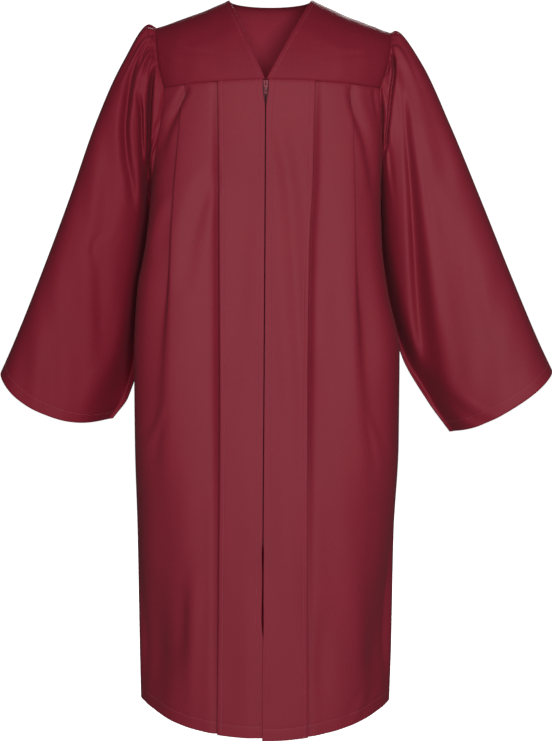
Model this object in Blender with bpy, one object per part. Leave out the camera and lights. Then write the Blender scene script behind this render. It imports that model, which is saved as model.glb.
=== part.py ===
# Graduation gown: a hollow garment of thin cloth walls, held up at its shoulders.
# Origin midway between the two neck points of the shoulder line, +Z up, front towards -Y.
# "drop" is a distance below the shoulder line; "side" is -1 for the left sleeve's side (-X)
# and +1 for the right one. All lengths are in metres.
import math

import bmesh
import bpy
from mathutils import Vector

MM = 0.001

# Cloth
WALL = 1.2 * MM
SEAM_GAP = 0.3 * MM
ARMHOLE_GAP = 0.5 * MM
TAPE_THICKNESS = 1.0 * MM

# Neck and shoulders
NECK_HALF_WIDTH = 0.0715
BACK_NECK_DEPTH = 0.055
BACK_NECK_DIP = 0.005
BACK_NECK_SHARE = 0.38
SHOULDERS = {
    -1: dict(x=-0.1970, drop=0.047),
    1: dict(x=0.2074, drop=0.055),
}
SHOULDER_SAG = 2.8 * MM

# Body: sections from the chest to the hem. left and right are the reach of the two sides,
# front and back the reach of the cloth at the middle, square how square the front half is.
BACK_SQUARENESS = 2.5
BODY_SECTIONS = [
    dict(drop=0.130, left=0.1950, right=0.2020, front=0.1130, back=0.106, square=2.5),
    dict(drop=0.200, left=0.1980, right=0.2000, front=0.1145, back=0.110, square=2.6),
    dict(drop=0.330, left=0.2067, right=0.1910, front=0.1230, back=0.119, square=3.1),
    dict(drop=0.420, left=0.2160, right=0.1930, front=0.1270, back=0.124, square=3.5),
    dict(drop=0.500, left=0.2312, right=0.2030, front=0.1300, back=0.128, square=3.5),
    dict(drop=0.611, left=0.2370, right=0.2250, front=0.1340, back=0.134, square=3.4),
    dict(drop=0.765, left=0.2370, right=0.2245, front=0.1390, back=0.141, square=2.9),
    dict(drop=0.925, left=0.2343, right=0.2170, front=0.1440, back=0.147, square=2.2),
    dict(drop=1.121, left=0.2318, right=0.2138, front=0.1500, back=0.153, square=1.9),
    dict(drop=1.270, left=0.2290, right=0.2090, front=0.1550, back=0.158, square=1.9),
]

# Yoke seam, armhole and hem
YOKE_SEAM_DROP = 0.1440
YOKE_SEAM_FALL = 0.010
YOKE_SEAM_SPAN = 0.180
YOKE_BACK_SEAM_DROP = 0.142
ARMHOLE_FRONT_REACH = 0.057
ARMHOLE_BACK_REACH = 0.055
UNDERARM_DROP = 0.330
SIDE_SEAM_HALF_GAP = math.radians(0.045)
HEM_FRONT_DROP = {-1: 1.2568, 1: 1.2612}
HEM_BACK_DROP = 1.2520
HEM_RISE = 0.036
HEM_RISE_POWER = {-1: 2.5, 1: 2.2}
HEM_SECTION_DROP = 1.25
SEAM_FALL_POWER = 1.8
YOKE_ROWS = 8
YOKE_FRONT_COLUMNS = 10
YOKE_BACK_HALF_COLUMNS = 13
ARMHOLE_COLUMNS = 6

# Zip: its line across the front, and the cloth edges beside it
ZIP_LINE = [
    dict(drop=0.130, x=-0.0075),
    dict(drop=0.500, x=-0.0095),
    dict(drop=0.9185, x=-0.0123),
    dict(drop=1.270, x=-0.0141),
]
ZIP_EDGE_GAP = 1.5 * MM
ZIP_TOP_SPREAD = 4.0 * MM
ZIP_SPREAD_FROM = 0.160
ZIP_SPREAD_TO = 0.193
ZIP_TOP_DROP = 0.1455
ZIP_STOP_DROP = 0.9185
ZIP_TAPE_WIDTH = 12.0 * MM
ZIP_TAPE_INNER = 0.8 * MM
ZIP_TAPE_TAIL = 12.0 * MM
ZIP_TAPE_ROWS = 14

# Knife pleats of the front, folded outwards: the fold's distance from the middle plane,
# the depth of the cloth under it, how far its layers are turned, and the length of each bend
FIRST_PLEAT = {
    -1: [
        dict(drop=0.145, fold=0.0885, depth=0.024, turn=180, bend=2.55 * MM),
        dict(drop=0.310, fold=0.0860, depth=0.024, turn=180, bend=2.55 * MM),
        dict(drop=0.680, fold=0.0847, depth=0.024, turn=180, bend=2.55 * MM),
        dict(drop=1.260, fold=0.0907, depth=0.024, turn=180, bend=2.55 * MM),
    ],
    1: [
        dict(drop=0.145, fold=0.0759, depth=0.024, turn=180, bend=2.55 * MM),
        dict(drop=0.310, fold=0.0717, depth=0.024, turn=180, bend=2.55 * MM),
        dict(drop=0.430, fold=0.0655, depth=0.024, turn=180, bend=2.55 * MM),
        dict(drop=0.680, fold=0.0627, depth=0.024, turn=180, bend=2.55 * MM),
        dict(drop=1.260, fold=0.0641, depth=0.024, turn=180, bend=2.55 * MM),
    ],
}
SECOND_PLEAT = {
    -1: [
        dict(drop=0.145, fold=0.1461, depth=0.020, turn=180, bend=2.55 * MM),
        dict(drop=0.240, fold=0.1530, depth=0.012, turn=165, bend=3.2 * MM),
        dict(drop=0.408, fold=0.1640, depth=0.003, turn=105, bend=5.0 * MM),
        dict(drop=0.603, fold=0.1700, depth=0.002, turn=38, bend=13 * MM),
        dict(drop=0.800, fold=0.1740, depth=0.002, turn=12, bend=16 * MM),
        dict(drop=1.260, fold=0.1760, depth=0.002, turn=4, bend=16 * MM),
    ],
    1: [
        dict(drop=0.145, fold=0.1368, depth=0.020, turn=180, bend=2.55 * MM),
        dict(drop=0.240, fold=0.1385, depth=0.012, turn=165, bend=3.2 * MM),
        dict(drop=0.408, fold=0.1409, depth=0.003, turn=105, bend=5.0 * MM),
        dict(drop=0.603, fold=0.1427, depth=0.002, turn=38, bend=13 * MM),
        dict(drop=0.800, fold=0.1540, depth=0.002, turn=12, bend=16 * MM),
        dict(drop=1.260, fold=0.1560, depth=0.002, turn=4, bend=16 * MM),
    ],
}
BEND_STEPS = 3
FRONT_LEVELS = [0, 0.018, 0.045, 0.09, 0.15, 0.22, 0.30, 0.39, 0.48, 0.57, 0.67, 0.77, 0.87, 0.94, 1]
EDGE_COLUMNS = 3
BETWEEN_COLUMNS = 3
OUTER_COLUMNS = 2
COLUMNS_SETTLE_AT = 0.30

# Gathered back: fine columns under the yoke, half as many below
BACK_SEAM_COLUMNS = 52
BACK_FINE_LEVELS = [0, 0.02, 0.055, 0.11]
BACK_COARSE_LEVELS = [0.17, 0.25, 0.34, 0.44, 0.54, 0.65, 0.76, 0.88, 1]
BACK_GATHERS = [
    dict(level=0.0, fine=0.0008, broad=0.0),
    dict(level=0.02, fine=0.0028, broad=0.001),
    dict(level=0.055, fine=0.0030, broad=0.003),
    dict(level=0.11, fine=0.0016, broad=0.005),
    dict(level=0.20, fine=0.0, broad=0.0075),
    dict(level=0.60, fine=0.0, broad=0.0090),
    dict(level=1.0, fine=0.0, broad=0.0100),
]

# Sleeves: sections from the armhole (t = 0) to the cuff (t = 1). Each runs from the outer
# edge to the inner one; depth is its half thickness front to back, behind how far its
# inner edge lies back, sag how far its front and back hang below the two edges.
SLEEVE_SECTIONS = {
    -1: [
        dict(t=0.00, outer_x=-0.1972, outer_drop=0.047, inner_x=-0.2095, inner_drop=0.331,
             depth=0.060, behind=0.000, sag=0.0),
        dict(t=0.03, outer_x=-0.2105, outer_drop=0.0430, inner_x=-0.2120, inner_drop=0.334,
             depth=0.067, behind=0.004, sag=0.0),
        dict(t=0.12, outer_x=-0.2525, outer_drop=0.1013, inner_x=-0.2130, inner_drop=0.382,
             depth=0.080, behind=0.034, sag=0.0),
        dict(t=0.29, outer_x=-0.3001, outer_drop=0.2047, inner_x=-0.2225, inner_drop=0.455,
             depth=0.090, behind=0.048, sag=0.0),
        dict(t=0.51, outer_x=-0.3499, outer_drop=0.3433, inner_x=-0.2345, inner_drop=0.540,
             depth=0.092, behind=0.050, sag=0.003),
        dict(t=0.74, outer_x=-0.4036, outer_drop=0.4830, inner_x=-0.2370, inner_drop=0.630,
             depth=0.093, behind=0.050, sag=0.012),
        dict(t=0.91, outer_x=-0.4466, outer_drop=0.5880, inner_x=-0.2535, inner_drop=0.692,
             depth=0.094, behind=0.036, sag=0.023),
        dict(t=1.00, outer_x=-0.4718, outer_drop=0.6443, inner_x=-0.2800, inner_drop=0.7285,
             depth=0.095, behind=0.028, sag=0.029),
    ],
    1: [
        dict(t=0.00, outer_x=0.2076, outer_drop=0.055, inner_x=0.1940, inner_drop=0.331,
             depth=0.060, behind=0.000, sag=0.0),
        dict(t=0.03, outer_x=0.2180, outer_drop=0.0545, inner_x=0.1960, inner_drop=0.334,
             depth=0.067, behind=0.004, sag=0.0),
        dict(t=0.12, outer_x=0.2580, outer_drop=0.1013, inner_x=0.1925, inner_drop=0.382,
             depth=0.080, behind=0.034, sag=0.0),
        dict(t=0.29, outer_x=0.3072, outer_drop=0.2047, inner_x=0.1965, inner_drop=0.455,
             depth=0.090, behind=0.048, sag=0.0),
        dict(t=0.51, outer_x=0.3658, outer_drop=0.3433, inner_x=0.2110, inner_drop=0.540,
             depth=0.092, behind=0.050, sag=0.002),
        dict(t=0.74, outer_x=0.4229, outer_drop=0.4830, inner_x=0.2350, inner_drop=0.622,
             depth=0.093, behind=0.046, sag=0.008),
        dict(t=0.91, outer_x=0.4677, outer_drop=0.5880, inner_x=0.2800, inner_drop=0.700,
             depth=0.094, behind=0.030, sag=0.011),
        dict(t=1.00, outer_x=0.4928, outer_drop=0.6408, inner_x=0.3180, inner_drop=0.752,
             depth=0.095, behind=0.024, sag=0.011),
    ],
}
SLEEVE_SQUARENESS = 2.15
SLEEVE_OUTER_FRONT_SQUARENESS = 2.5
SLEEVE_FINE_LEVELS = [0.014, 0.035, 0.075, 0.13, 0.20]
SLEEVE_COARSE_LEVELS = [0.28, 0.37, 0.47, 0.57, 0.67, 0.77, 0.86, 0.94, 1.0]
SLEEVE_JOIN_AT = 0.16
HEAD_GATHER_COUNT = 14
HEAD_GATHER_DEPTH = 0.0032
HEAD_GATHER_FADE = 0.16
SLEEVE_LEAVES = Vector((0.86, 0.0, -0.5))

# Largest folds of the sleeves, as troughs seen from the front: a curve through three places
# (x is the distance from the middle plane), its depth and its half width
SLEEVE_FOLDS = {
    -1: [
        dict(x0=0.216, drop0=0.085, x1=0.262, drop1=0.210, x2=0.234, drop2=0.360,
             depth=0.012, width=0.010),
        dict(x0=0.202, drop0=0.120, x1=0.208, drop1=0.220, x2=0.214, drop2=0.340,
             depth=0.012, width=0.009),
        dict(x0=0.214, drop0=0.330, x1=0.226, drop1=0.600, x2=0.285, drop2=0.760,
             depth=0.014, width=0.020),
        dict(x0=0.288, drop0=0.400, x1=0.286, drop1=0.520, x2=0.285, drop2=0.640,
             depth=0.003, width=0.020),
    ],
    1: [
        dict(x0=0.206, drop0=0.080, x1=0.216, drop1=0.140, x2=0.196, drop2=0.280,
             depth=0.010, width=0.009),
        dict(x0=0.226, drop0=0.150, x1=0.240, drop1=0.400, x2=0.290, drop2=0.700,
             depth=0.012, width=0.013),
        dict(x0=0.190, drop0=0.330, x1=0.200, drop1=0.580, x2=0.310, drop2=0.760,
             depth=0.014, width=0.018),
    ],
}
BACK_FOLD_SHARE = 0.6
FOLD_LINE_STEPS = 12
FOLD_SIDE_FADE = 1.6
FOLDS_START_AT = 0.06
GATHERS_START_AT = 0.03
SHOULDER_TOP_LEAN = (0.35, 0.94)
NEAR_YOKE_SEAM = 0.16

# Zip slider and its pull tab; "out" is measured forward from the middle of the cloth wall
SLIDER_TOP_DROP = 0.1460
SLIDER_LENGTH = 11.0 * MM
SLIDER_TOP_WIDTH = 8.4 * MM
SLIDER_LOW_WIDTH = 6.4 * MM
SLIDER_BACK_OUT = -0.6 * MM
SLIDER_FRONT_OUT = 1.6 * MM
SLIDER_CORNER_RADIUS = 1.6 * MM
SLIDER_WIDE_SHARE = 0.55
SLIDER_NECK_WIDTH = 1.0 * MM
SLIDER_NECK_TOP = 0.8 * MM
SLIDER_NECK_LOW = 5.0 * MM
SLIDER_REAR_INSET = 0.2 * MM
SLIDER_REAR_NEAR = -2.2 * MM
SLIDER_REAR_FAR = -3.2 * MM
BAIL_WIDTH = 1.6 * MM
BAIL_ROOM = 1.8 * MM
BAIL_THICKNESS = 1.0 * MM
BAIL_INNER_HALF = 2.5 * MM
BAIL_ROUNDNESS = 0.6
BAIL_STEPS = 8
BAIL_BELOW_TOP = 0.8 * MM
PIECES_SINK_IN = 0.5 * MM
PULL_BAR_RADIUS = 0.55 * MM
PULL_WIDTH = 5.4 * MM
PULL_LENGTH = 19.0 * MM
PULL_EYE_WIDTH = 2.5 * MM
PULL_EYE_END = 5.2 * MM
PULL_CORNER = 0.5 * MM
PULL_LOW_HALF_WIDTH = 1.9 * MM
PULL_TAPER = 2.6 * MM
PULL_SLOT_RADIUS = 0.78 * MM
PULL_SLOT_TOP = 9.4 * MM
PULL_SLOT_FROM_END = 3.4 * MM
STOP_WIDTH = 2.4 * MM
STOP_HEIGHT = 7.5 * MM
STOP_FRONT_OUT = 1.2 * MM
STOP_ROUNDING = 0.4 * MM

CLOTH_COLOUR = (0.224, 0.034, 0.051, 1)
TAPE_COLOUR = (0.120, 0.014, 0.024, 1)
METAL_COLOUR = (0.52, 0.42, 0.43, 1)


def smooth(amount):
    """Ease from 0 to 1, flat at both ends."""
    amount = min(max(amount, 0.0), 1.0)
    return amount * amount * (3 - 2 * amount)


def mix(low, high, amount):
    return low + (high - low) * amount


def read(table, along, name, at):
    """Value of a table's column between its rows, on a smooth curve that doesn't overshoot."""
    places = [row[along] for row in table]
    values = [row[name] for row in table]
    if at <= places[0]:
        return values[0]
    if at >= places[-1]:
        return values[-1]
    upper = next(i for i, place in enumerate(places) if place > at)
    lower = upper - 1
    steps = [(values[i + 1] - values[i]) / (places[i + 1] - places[i]) for i in range(len(places) - 1)]

    def slope(i):
        if i == 0:
            return steps[0]
        if i == len(steps):
            return steps[-1]
        if steps[i - 1] * steps[i] <= 0:
            return 0.0
        return 2 * steps[i - 1] * steps[i] / (steps[i - 1] + steps[i])

    width = places[upper] - places[lower]
    t = (at - places[lower]) / width
    start = (1 + 2 * t) * (1 - t) ** 2 * values[lower] + t * (1 - t) ** 2 * width * slope(lower)
    return start + t * t * (3 - 2 * t) * values[upper] + t * t * (t - 1) * width * slope(upper)


def body_size(drop):
    """Centre, half width, front reach and back reach of the body at a height."""
    left = read(BODY_SECTIONS, "drop", "left", drop)
    right = read(BODY_SECTIONS, "drop", "right", drop)
    front = read(BODY_SECTIONS, "drop", "front", drop)
    back = read(BODY_SECTIONS, "drop", "back", drop)
    return (right - left) / 2, (right + left) / 2, front, back


def square_at(drop, back=False):
    return BACK_SQUARENESS if back else read(BODY_SECTIONS, "drop", "square", drop)


def body_point(angle, drop, inward=0.0):
    """Point of the body's cloth. The angle runs from 0 at the front over 90 degrees at a side
    to 180 at the back, and is negative towards -X."""
    centre, half, front, back = body_size(drop)
    side = math.copysign(1, math.sin(angle))
    facing = -1 if math.cos(angle) >= 0 else 1
    power = square_at(drop, facing > 0)
    across = abs(math.sin(angle)) ** (2 / power)
    along = abs(math.cos(angle)) ** (2 / power)
    reach = front if facing < 0 else back
    normal = Vector((side * across ** (power - 1) / half, facing * along ** (power - 1) / reach, 0))
    normal.normalize()
    point = Vector((centre + side * half * across, facing * reach * along, -drop))
    return point - normal * inward


def angle_at_x(x, drop, back=False):
    centre, half, _, _ = body_size(drop)
    share = min(abs(x - centre) / half, 1.0)
    return math.copysign(math.asin(share ** (square_at(drop, back) / 2)), x - centre)


def angle_at_reach(reach, drop, back=False):
    """Angle at which the section lies this far in front of, or behind, the middle."""
    _, _, front, rear = body_size(drop)
    share = min(reach / (rear if back else front), 1.0)
    angle = math.acos(share ** (square_at(drop, back) / 2))
    return math.pi - angle if back else angle


def yoke_seam_drop(x):
    return YOKE_SEAM_DROP + YOKE_SEAM_FALL * min(abs(x) / YOKE_SEAM_SPAN, 1.1) ** SEAM_FALL_POWER


def back_seam_drop(x):
    return YOKE_BACK_SEAM_DROP + YOKE_SEAM_FALL * min(abs(x) / YOKE_SEAM_SPAN, 1.1) ** SEAM_FALL_POWER


def hem_drop(x, lowest):
    centre, half, _, _ = body_size(HEM_SECTION_DROP)
    power = HEM_RISE_POWER[-1 if x < centre else 1]
    return lowest - HEM_RISE * min(abs(x - centre) / half, 1.0) ** power


def armhole_corner(side, back=False):
    """Where the yoke seam meets the armhole."""
    reach = ARMHOLE_BACK_REACH if back else ARMHOLE_FRONT_REACH
    drop = (back_seam_drop if back else yoke_seam_drop)(YOKE_SEAM_SPAN)
    angle = side * angle_at_reach(reach, drop, back)
    return body_point(angle, drop), angle, drop


def armhole_place(side, share, back=False):
    """Place on the lower armhole, from the yoke seam (share 0) to the underarm (share 1)."""
    _, _, corner_drop = armhole_corner(side, back)
    turn = share * math.pi / 2
    drop = mix(corner_drop, UNDERARM_DROP, math.sin(turn))
    reach = (ARMHOLE_BACK_REACH if back else ARMHOLE_FRONT_REACH) * math.cos(turn)
    return side * angle_at_reach(reach, drop, back), drop


def seam_normal(cloth_normal, along_seam, side, point):
    """Direction of the wall's edge at the armhole: half way between the body's own normal and
    that of the sleeve, so that both edges lie side by side."""
    leaves = Vector((side * SLEEVE_LEAVES.x, 0, SLEEVE_LEAVES.z))
    sleeve_normal = leaves.cross(along_seam).normalized()
    from_middle = Vector((0, point.y, point.z + (UNDERARM_DROP + SHOULDERS[side]["drop"]) / 2))
    if sleeve_normal.dot(from_middle) < 0:
        sleeve_normal.negate()
    return (cloth_normal + sleeve_normal).normalized()


def section_normals(points, side):
    """Outward directions of a row of points seen from above, mitred at its bends."""
    flat = [Vector((p.x, p.y)) for p in points]
    segments = [(flat[i + 1] - flat[i]).normalized() for i in range(len(flat) - 1)]
    normals = []
    for i in range(len(flat)):
        before = segments[max(i - 1, 0)]
        after = segments[min(i, len(segments) - 1)]
        middle = (before + after).normalized()
        stretch = 1 / max(middle.dot(after), 0.5)
        normals.append(Vector((side * middle.y, -side * middle.x, 0)) * stretch)
    return normals


def grid_normals(grid, closed=False):
    """Outward unit normals of a grid of points, rows running down and columns across."""
    rows = len(grid)
    count = len(grid[0])
    normals = []
    for r in range(rows):
        line = []
        for c in range(count):
            down = grid[min(r + 1, rows - 1)][c] - grid[max(r - 1, 0)][c]
            if closed:
                across = grid[r][(c + 1) % count] - grid[r][(c - 1) % count]
            else:
                across = grid[r][min(c + 1, count - 1)] - grid[r][max(c - 1, 0)]
            line.append(across.cross(down).normalized())
        normals.append(line)
    return normals


def strip(upper, lower):
    """Faces between two rows of vertex numbers of the same length, or one of them half as fine."""
    faces = []
    if len(upper) == len(lower):
        for i in range(len(upper) - 1):
            faces.append((upper[i], lower[i], lower[i + 1], upper[i + 1]))
        return faces
    coarse, fine = (upper, lower) if len(upper) < len(lower) else (lower, upper)
    for i in range(len(coarse) - 1):
        faces.append((coarse[i], fine[2 * i], fine[2 * i + 1]))
        faces.append((coarse[i], fine[2 * i + 1], coarse[i + 1]))
        faces.append((coarse[i + 1], fine[2 * i + 1], fine[2 * i + 2]))
    return faces


def material(name, colour, roughness, metallic=0.0):
    made = bpy.data.materials.new(name)
    made.use_nodes = True
    shader = made.node_tree.nodes["Principled BSDF"]
    shader.inputs["Base Color"].default_value = colour
    shader.inputs["Roughness"].default_value = roughness
    shader.inputs["Metallic"].default_value = metallic
    return made


def add_object(name, mesh, finish):
    made = bpy.data.objects.new(name, mesh)
    bpy.context.scene.collection.objects.link(made)
    mesh.materials.append(finish)
    return made


def cloth_wall(name, outer, inner, closed=False, colour=CLOTH_COLOUR):
    """Closed wall of cloth between an outer and an inner set of rows."""
    points = []

    def number(rows):
        numbered = []
        for row in rows:
            first = len(points)
            points.extend(row)
            ids = list(range(first, len(points)))
            numbered.append(ids + ids[:1] if closed else ids)
        return numbered

    outside = number(outer)
    inside = number(inner)
    faces = []
    for layer in (outside, inside):
        for upper, lower in zip(layer, layer[1:]):
            faces += strip(upper, lower)
    faces += strip(outside[0], inside[0])
    faces += strip(outside[-1], inside[-1])
    if not closed:
        for end in (0, -1):
            faces += strip([row[end] for row in outside], [row[end] for row in inside])
    mesh = bpy.data.meshes.new(name)
    mesh.from_pydata([tuple(p) for p in points], [], faces)
    body = bmesh.new()
    body.from_mesh(mesh)
    bmesh.ops.triangulate(body, faces=body.faces[:])
    bmesh.ops.recalc_face_normals(body, faces=body.faces[:])
    body.to_mesh(mesh)
    body.free()
    mesh.shade_smooth()
    mesh.set_sharp_from_angle(angle=math.radians(50))
    return add_object(name, mesh, material("twill of " + name, colour, 0.62))


def thicken(grid, normals):
    """Outer and inner rows of a wall about a grid of points."""
    outer = [[p + n * WALL / 2 for p, n in zip(row, line)] for row, line in zip(grid, normals)]
    inner = [[p - n * WALL / 2 for p, n in zip(row, line)] for row, line in zip(grid, normals)]
    return outer, inner


def zip_x(drop):
    return read(ZIP_LINE, "drop", "x", drop)


def zip_edge_x(side, drop):
    """Cloth edge beside the zip, spread apart at the slider."""
    open_share = 1 - smooth((drop - ZIP_SPREAD_FROM) / (ZIP_SPREAD_TO - ZIP_SPREAD_FROM))
    return zip_x(drop) + side * (ZIP_EDGE_GAP + ZIP_TOP_SPREAD * open_share)


def pleat_path(table, drop):
    """Places of the folded cloth, outward along the front and inward from its face."""
    turn = math.radians(read(table, "drop", "turn", drop))
    depth = read(table, "drop", "depth", drop)
    step = read(table, "drop", "bend", drop) / BEND_STEPS
    directions = [(i + 0.5) / BEND_STEPS * turn for i in range(BEND_STEPS)]
    runs = [(step, d) for d in directions] + [(depth, turn)] + [(step, d) for d in reversed(directions)]
    along = 0.0
    inward = 0.0
    path = [(0.0, 0.0)]
    furthest = 0.0
    for length, direction in runs:
        along += length * math.cos(direction)
        inward += length * math.sin(direction)
        furthest = max(furthest, along)
        path.append((along, inward))
    start = read(table, "drop", "fold", drop) - min(furthest, step)
    return [(start + a, q) for a, q in path]


def front_place(side, column, drop, level):
    """Angle on the body and inward offset of one column of a front panel at a height."""
    group, index = column
    first = pleat_path(FIRST_PLEAT[side], drop)
    second = pleat_path(SECOND_PLEAT[side], drop)
    if group == "edge":
        x = mix(zip_edge_x(side, drop) * side, first[0][0], index / (EDGE_COLUMNS + 1))
        return angle_at_x(side * x, drop), 0.0
    if group == "first":
        x, inward = first[index]
        return angle_at_x(side * x, drop), inward
    if group == "between":
        share = (index + 1) / (BETWEEN_COLUMNS + 1)
        x = mix(first[-1][0], second[0][0], share)
        return angle_at_x(side * x, drop), first[-1][1] * (1 - share)
    if group == "second":
        x, inward = second[index]
        return angle_at_x(side * x, drop), inward
    last_angle = abs(angle_at_x(side * second[-1][0], drop))
    settle = smooth(level / COLUMNS_SETTLE_AT)
    steps = OUTER_COLUMNS + 1 + ARMHOLE_COLUMNS
    end = math.pi / 2 - SIDE_SEAM_HALF_GAP
    if group == "outer":
        _, corner_angle, _ = armhole_corner(side)
        top = mix(last_angle, abs(corner_angle), (index + 1) / (OUTER_COLUMNS + 1))
        position = index + 1
    else:
        top = min(abs(armhole_place(side, index / ARMHOLE_COLUMNS)[0]), end)
        position = OUTER_COLUMNS + 1 + index
    low = mix(last_angle, end, position / steps)
    inward = second[-1][1] * (1 - smooth(position / (OUTER_COLUMNS + 1.5)))
    return side * mix(top, low, settle), inward


def front_columns():
    columns = [("edge", i) for i in range(EDGE_COLUMNS + 1)]
    pleat_points = 2 * BEND_STEPS + 2
    columns += [("first", i) for i in range(pleat_points)]
    columns += [("between", i) for i in range(BETWEEN_COLUMNS)]
    columns += [("second", i) for i in range(pleat_points)]
    columns += [("outer", i) for i in range(OUTER_COLUMNS)]
    columns += [("armhole", i) for i in range(ARMHOLE_COLUMNS + 1)]
    return columns


def front_grid(side):
    columns = front_columns()
    tops = []
    hems = []
    for column in columns:
        angle, inward = front_place(side, column, YOKE_SEAM_DROP, 0)
        if column[0] == "armhole":
            drop = armhole_place(side, column[1] / ARMHOLE_COLUMNS)[1]
            tops.append(drop + (SEAM_GAP if column[1] == 0 else 0))
        else:
            tops.append(yoke_seam_drop(body_point(angle, YOKE_SEAM_DROP, inward).x) + SEAM_GAP)
        lowest = HEM_FRONT_DROP[side]
        angle, inward = front_place(side, column, lowest, 1)
        hems.append(hem_drop(body_point(angle, lowest, inward).x, lowest))
    grid = []
    for level in FRONT_LEVELS:
        row = []
        for column, top, hem in zip(columns, tops, hems):
            drop = mix(top, hem, level)
            angle, inward = front_place(side, column, drop, level)
            row.append(body_point(angle, drop, inward))
        grid.append(row)
    return grid


def armhole_edge_normals(points, normals, side):
    """Turn the directions at an armhole edge half way towards the sleeve's."""
    for i, point in enumerate(points):
        along = points[min(i + 1, len(points) - 1)] - points[max(i - 1, 0)]
        normals[i] = seam_normal(normals[i].normalized(), along.normalized(), side, point)


def make_front(side):
    grid = front_grid(side)
    normals = [section_normals(row, side) for row in grid]
    edge = grid[0][-(ARMHOLE_COLUMNS + 1):]
    turned = normals[0][-(ARMHOLE_COLUMNS + 1):]
    armhole_edge_normals(edge, turned, side)
    normals[0][-(ARMHOLE_COLUMNS + 1):] = turned
    outer, inner = thicken(grid, normals)
    return cloth_wall("front_left" if side < 0 else "front_right", outer, inner)


def wave(position, count, unevenness):
    """Uneven row of soft ridges between -1 and 1."""
    drift = unevenness * math.sin(2.3 * math.pi * position + 0.7)
    return math.sin(2 * math.pi * (count * position + drift))


def back_place(fraction, level, drop):
    """Angle and inward offset of the gathered back; fraction 0 to 1 from +X side to -X side."""
    total = BACK_SEAM_COLUMNS + 2 * ARMHOLE_COLUMNS
    position = fraction * total
    side = 1 if fraction <= 0.5 else -1
    from_side = position if side > 0 else total - position
    end = math.pi / 2 + SIDE_SEAM_HALF_GAP
    low = end + (math.pi - end) * from_side / (total / 2)
    if from_side <= ARMHOLE_COLUMNS:
        top = max(abs(armhole_place(side, 1 - from_side / ARMHOLE_COLUMNS, True)[0]), end)
    else:
        corner = abs(armhole_corner(side, True)[1])
        share = (from_side - ARMHOLE_COLUMNS) / (total / 2 - ARMHOLE_COLUMNS)
        top = math.pi - (math.pi - corner) * (1 - share) ** (BACK_SQUARENESS / 2)
    settle = smooth(level / COLUMNS_SETTLE_AT)
    edge_fade = smooth((from_side - ARMHOLE_COLUMNS) / 3)
    fine = read(BACK_GATHERS, "level", "fine", level) * wave(fraction, BACK_SEAM_COLUMNS / 4, 0.0)
    broad = read(BACK_GATHERS, "level", "broad", level) * wave(fraction, 7, 0.35)
    fade = mix(edge_fade, smooth(from_side / (ARMHOLE_COLUMNS + 2)), settle)
    angle = mix(top, low, settle)
    return side * min(angle, math.pi - 1e-6), -(fine + broad) * fade


def back_grid():
    total = BACK_SEAM_COLUMNS + 2 * ARMHOLE_COLUMNS
    grid = []
    for level in BACK_FINE_LEVELS + BACK_COARSE_LEVELS:
        row = []
        for position in range(total + 1):
            fraction = position / total
            side = 1 if fraction <= 0.5 else -1
            from_side = min(position, total - position)
            if from_side <= ARMHOLE_COLUMNS:
                top = armhole_place(side, 1 - from_side / ARMHOLE_COLUMNS, True)[1]
                top += SEAM_GAP if from_side == ARMHOLE_COLUMNS else 0
            else:
                angle, inward = back_place(fraction, 0, YOKE_BACK_SEAM_DROP)
                top = back_seam_drop(body_point(angle, YOKE_BACK_SEAM_DROP, inward).x) + SEAM_GAP
            angle, inward = back_place(fraction, 1, HEM_BACK_DROP)
            hem = hem_drop(body_point(angle, HEM_BACK_DROP, inward).x, HEM_BACK_DROP)
            drop = mix(top, hem, level)
            angle, inward = back_place(fraction, level, drop)
            row.append(body_point(angle, drop, inward))
        grid.append(row)
    return grid


def make_back():
    grid = back_grid()
    normals = [section_normals(row, 1) for row in grid]
    for side, part in ((1, slice(0, ARMHOLE_COLUMNS + 1)), (-1, slice(-(ARMHOLE_COLUMNS + 1), None))):
        turned = normals[0][part]
        armhole_edge_normals(grid[0][part], turned, side)
        normals[0][part] = turned
    outer, inner = thicken(grid, normals)
    fine = len(BACK_FINE_LEVELS)
    outer = outer[:fine] + [row[::2] for row in outer[fine:]]
    inner = inner[:fine] + [row[::2] for row in inner[fine:]]
    return cloth_wall("back_panel", outer, inner)


def yoke_front_point(side, across, turn):
    """Front yoke: across 0 at the neck edge to 1 at the armhole, turn 0 at the shoulder line
    to 90 degrees at the yoke seam."""
    shoulder = SHOULDERS[side]
    top_x = mix(side * NECK_HALF_WIDTH, shoulder["x"], across)
    top_drop = mix(0.0, shoulder["drop"], across) + SHOULDER_SAG * math.sin(math.pi * across)
    corner, _, _ = armhole_corner(side)
    low_x = mix(zip_x(YOKE_SEAM_DROP) + side * ZIP_EDGE_GAP, corner.x, across)
    low_drop = yoke_seam_drop(low_x) if across < 1 else armhole_corner(side)[2]
    low = body_point(angle_at_x(low_x, low_drop), low_drop) if across < 1 else corner
    fall = 1 - math.cos(turn)
    x = mix(top_x, low.x, fall ** (1 + across))
    y = mix(-SEAM_GAP / 2, low.y, math.sin(turn))
    return Vector((x, y, -mix(top_drop, low_drop, fall)))


def make_front_yoke(side):
    grid = []
    for r in range(YOKE_ROWS + 1):
        turn = r / YOKE_ROWS * math.pi / 2
        across = [c / YOKE_FRONT_COLUMNS for c in range(YOKE_FRONT_COLUMNS + 1)]
        grid.append([yoke_front_point(side, share, turn) for share in across])
    normals = grid_normals(grid)
    normals = [[n if n.dot(Vector((0, -1, 1))) > 0 else -n for n in line] for line in normals]
    edge = [row[-1] for row in grid]
    turned = [line[-1] for line in normals]
    armhole_edge_normals(edge, turned, side)
    for line, normal in zip(normals, turned):
        line[-1] = normal
    outer, inner = thicken(grid, normals)
    return cloth_wall("yoke_front_left" if side < 0 else "yoke_front_right", outer, inner)


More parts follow.
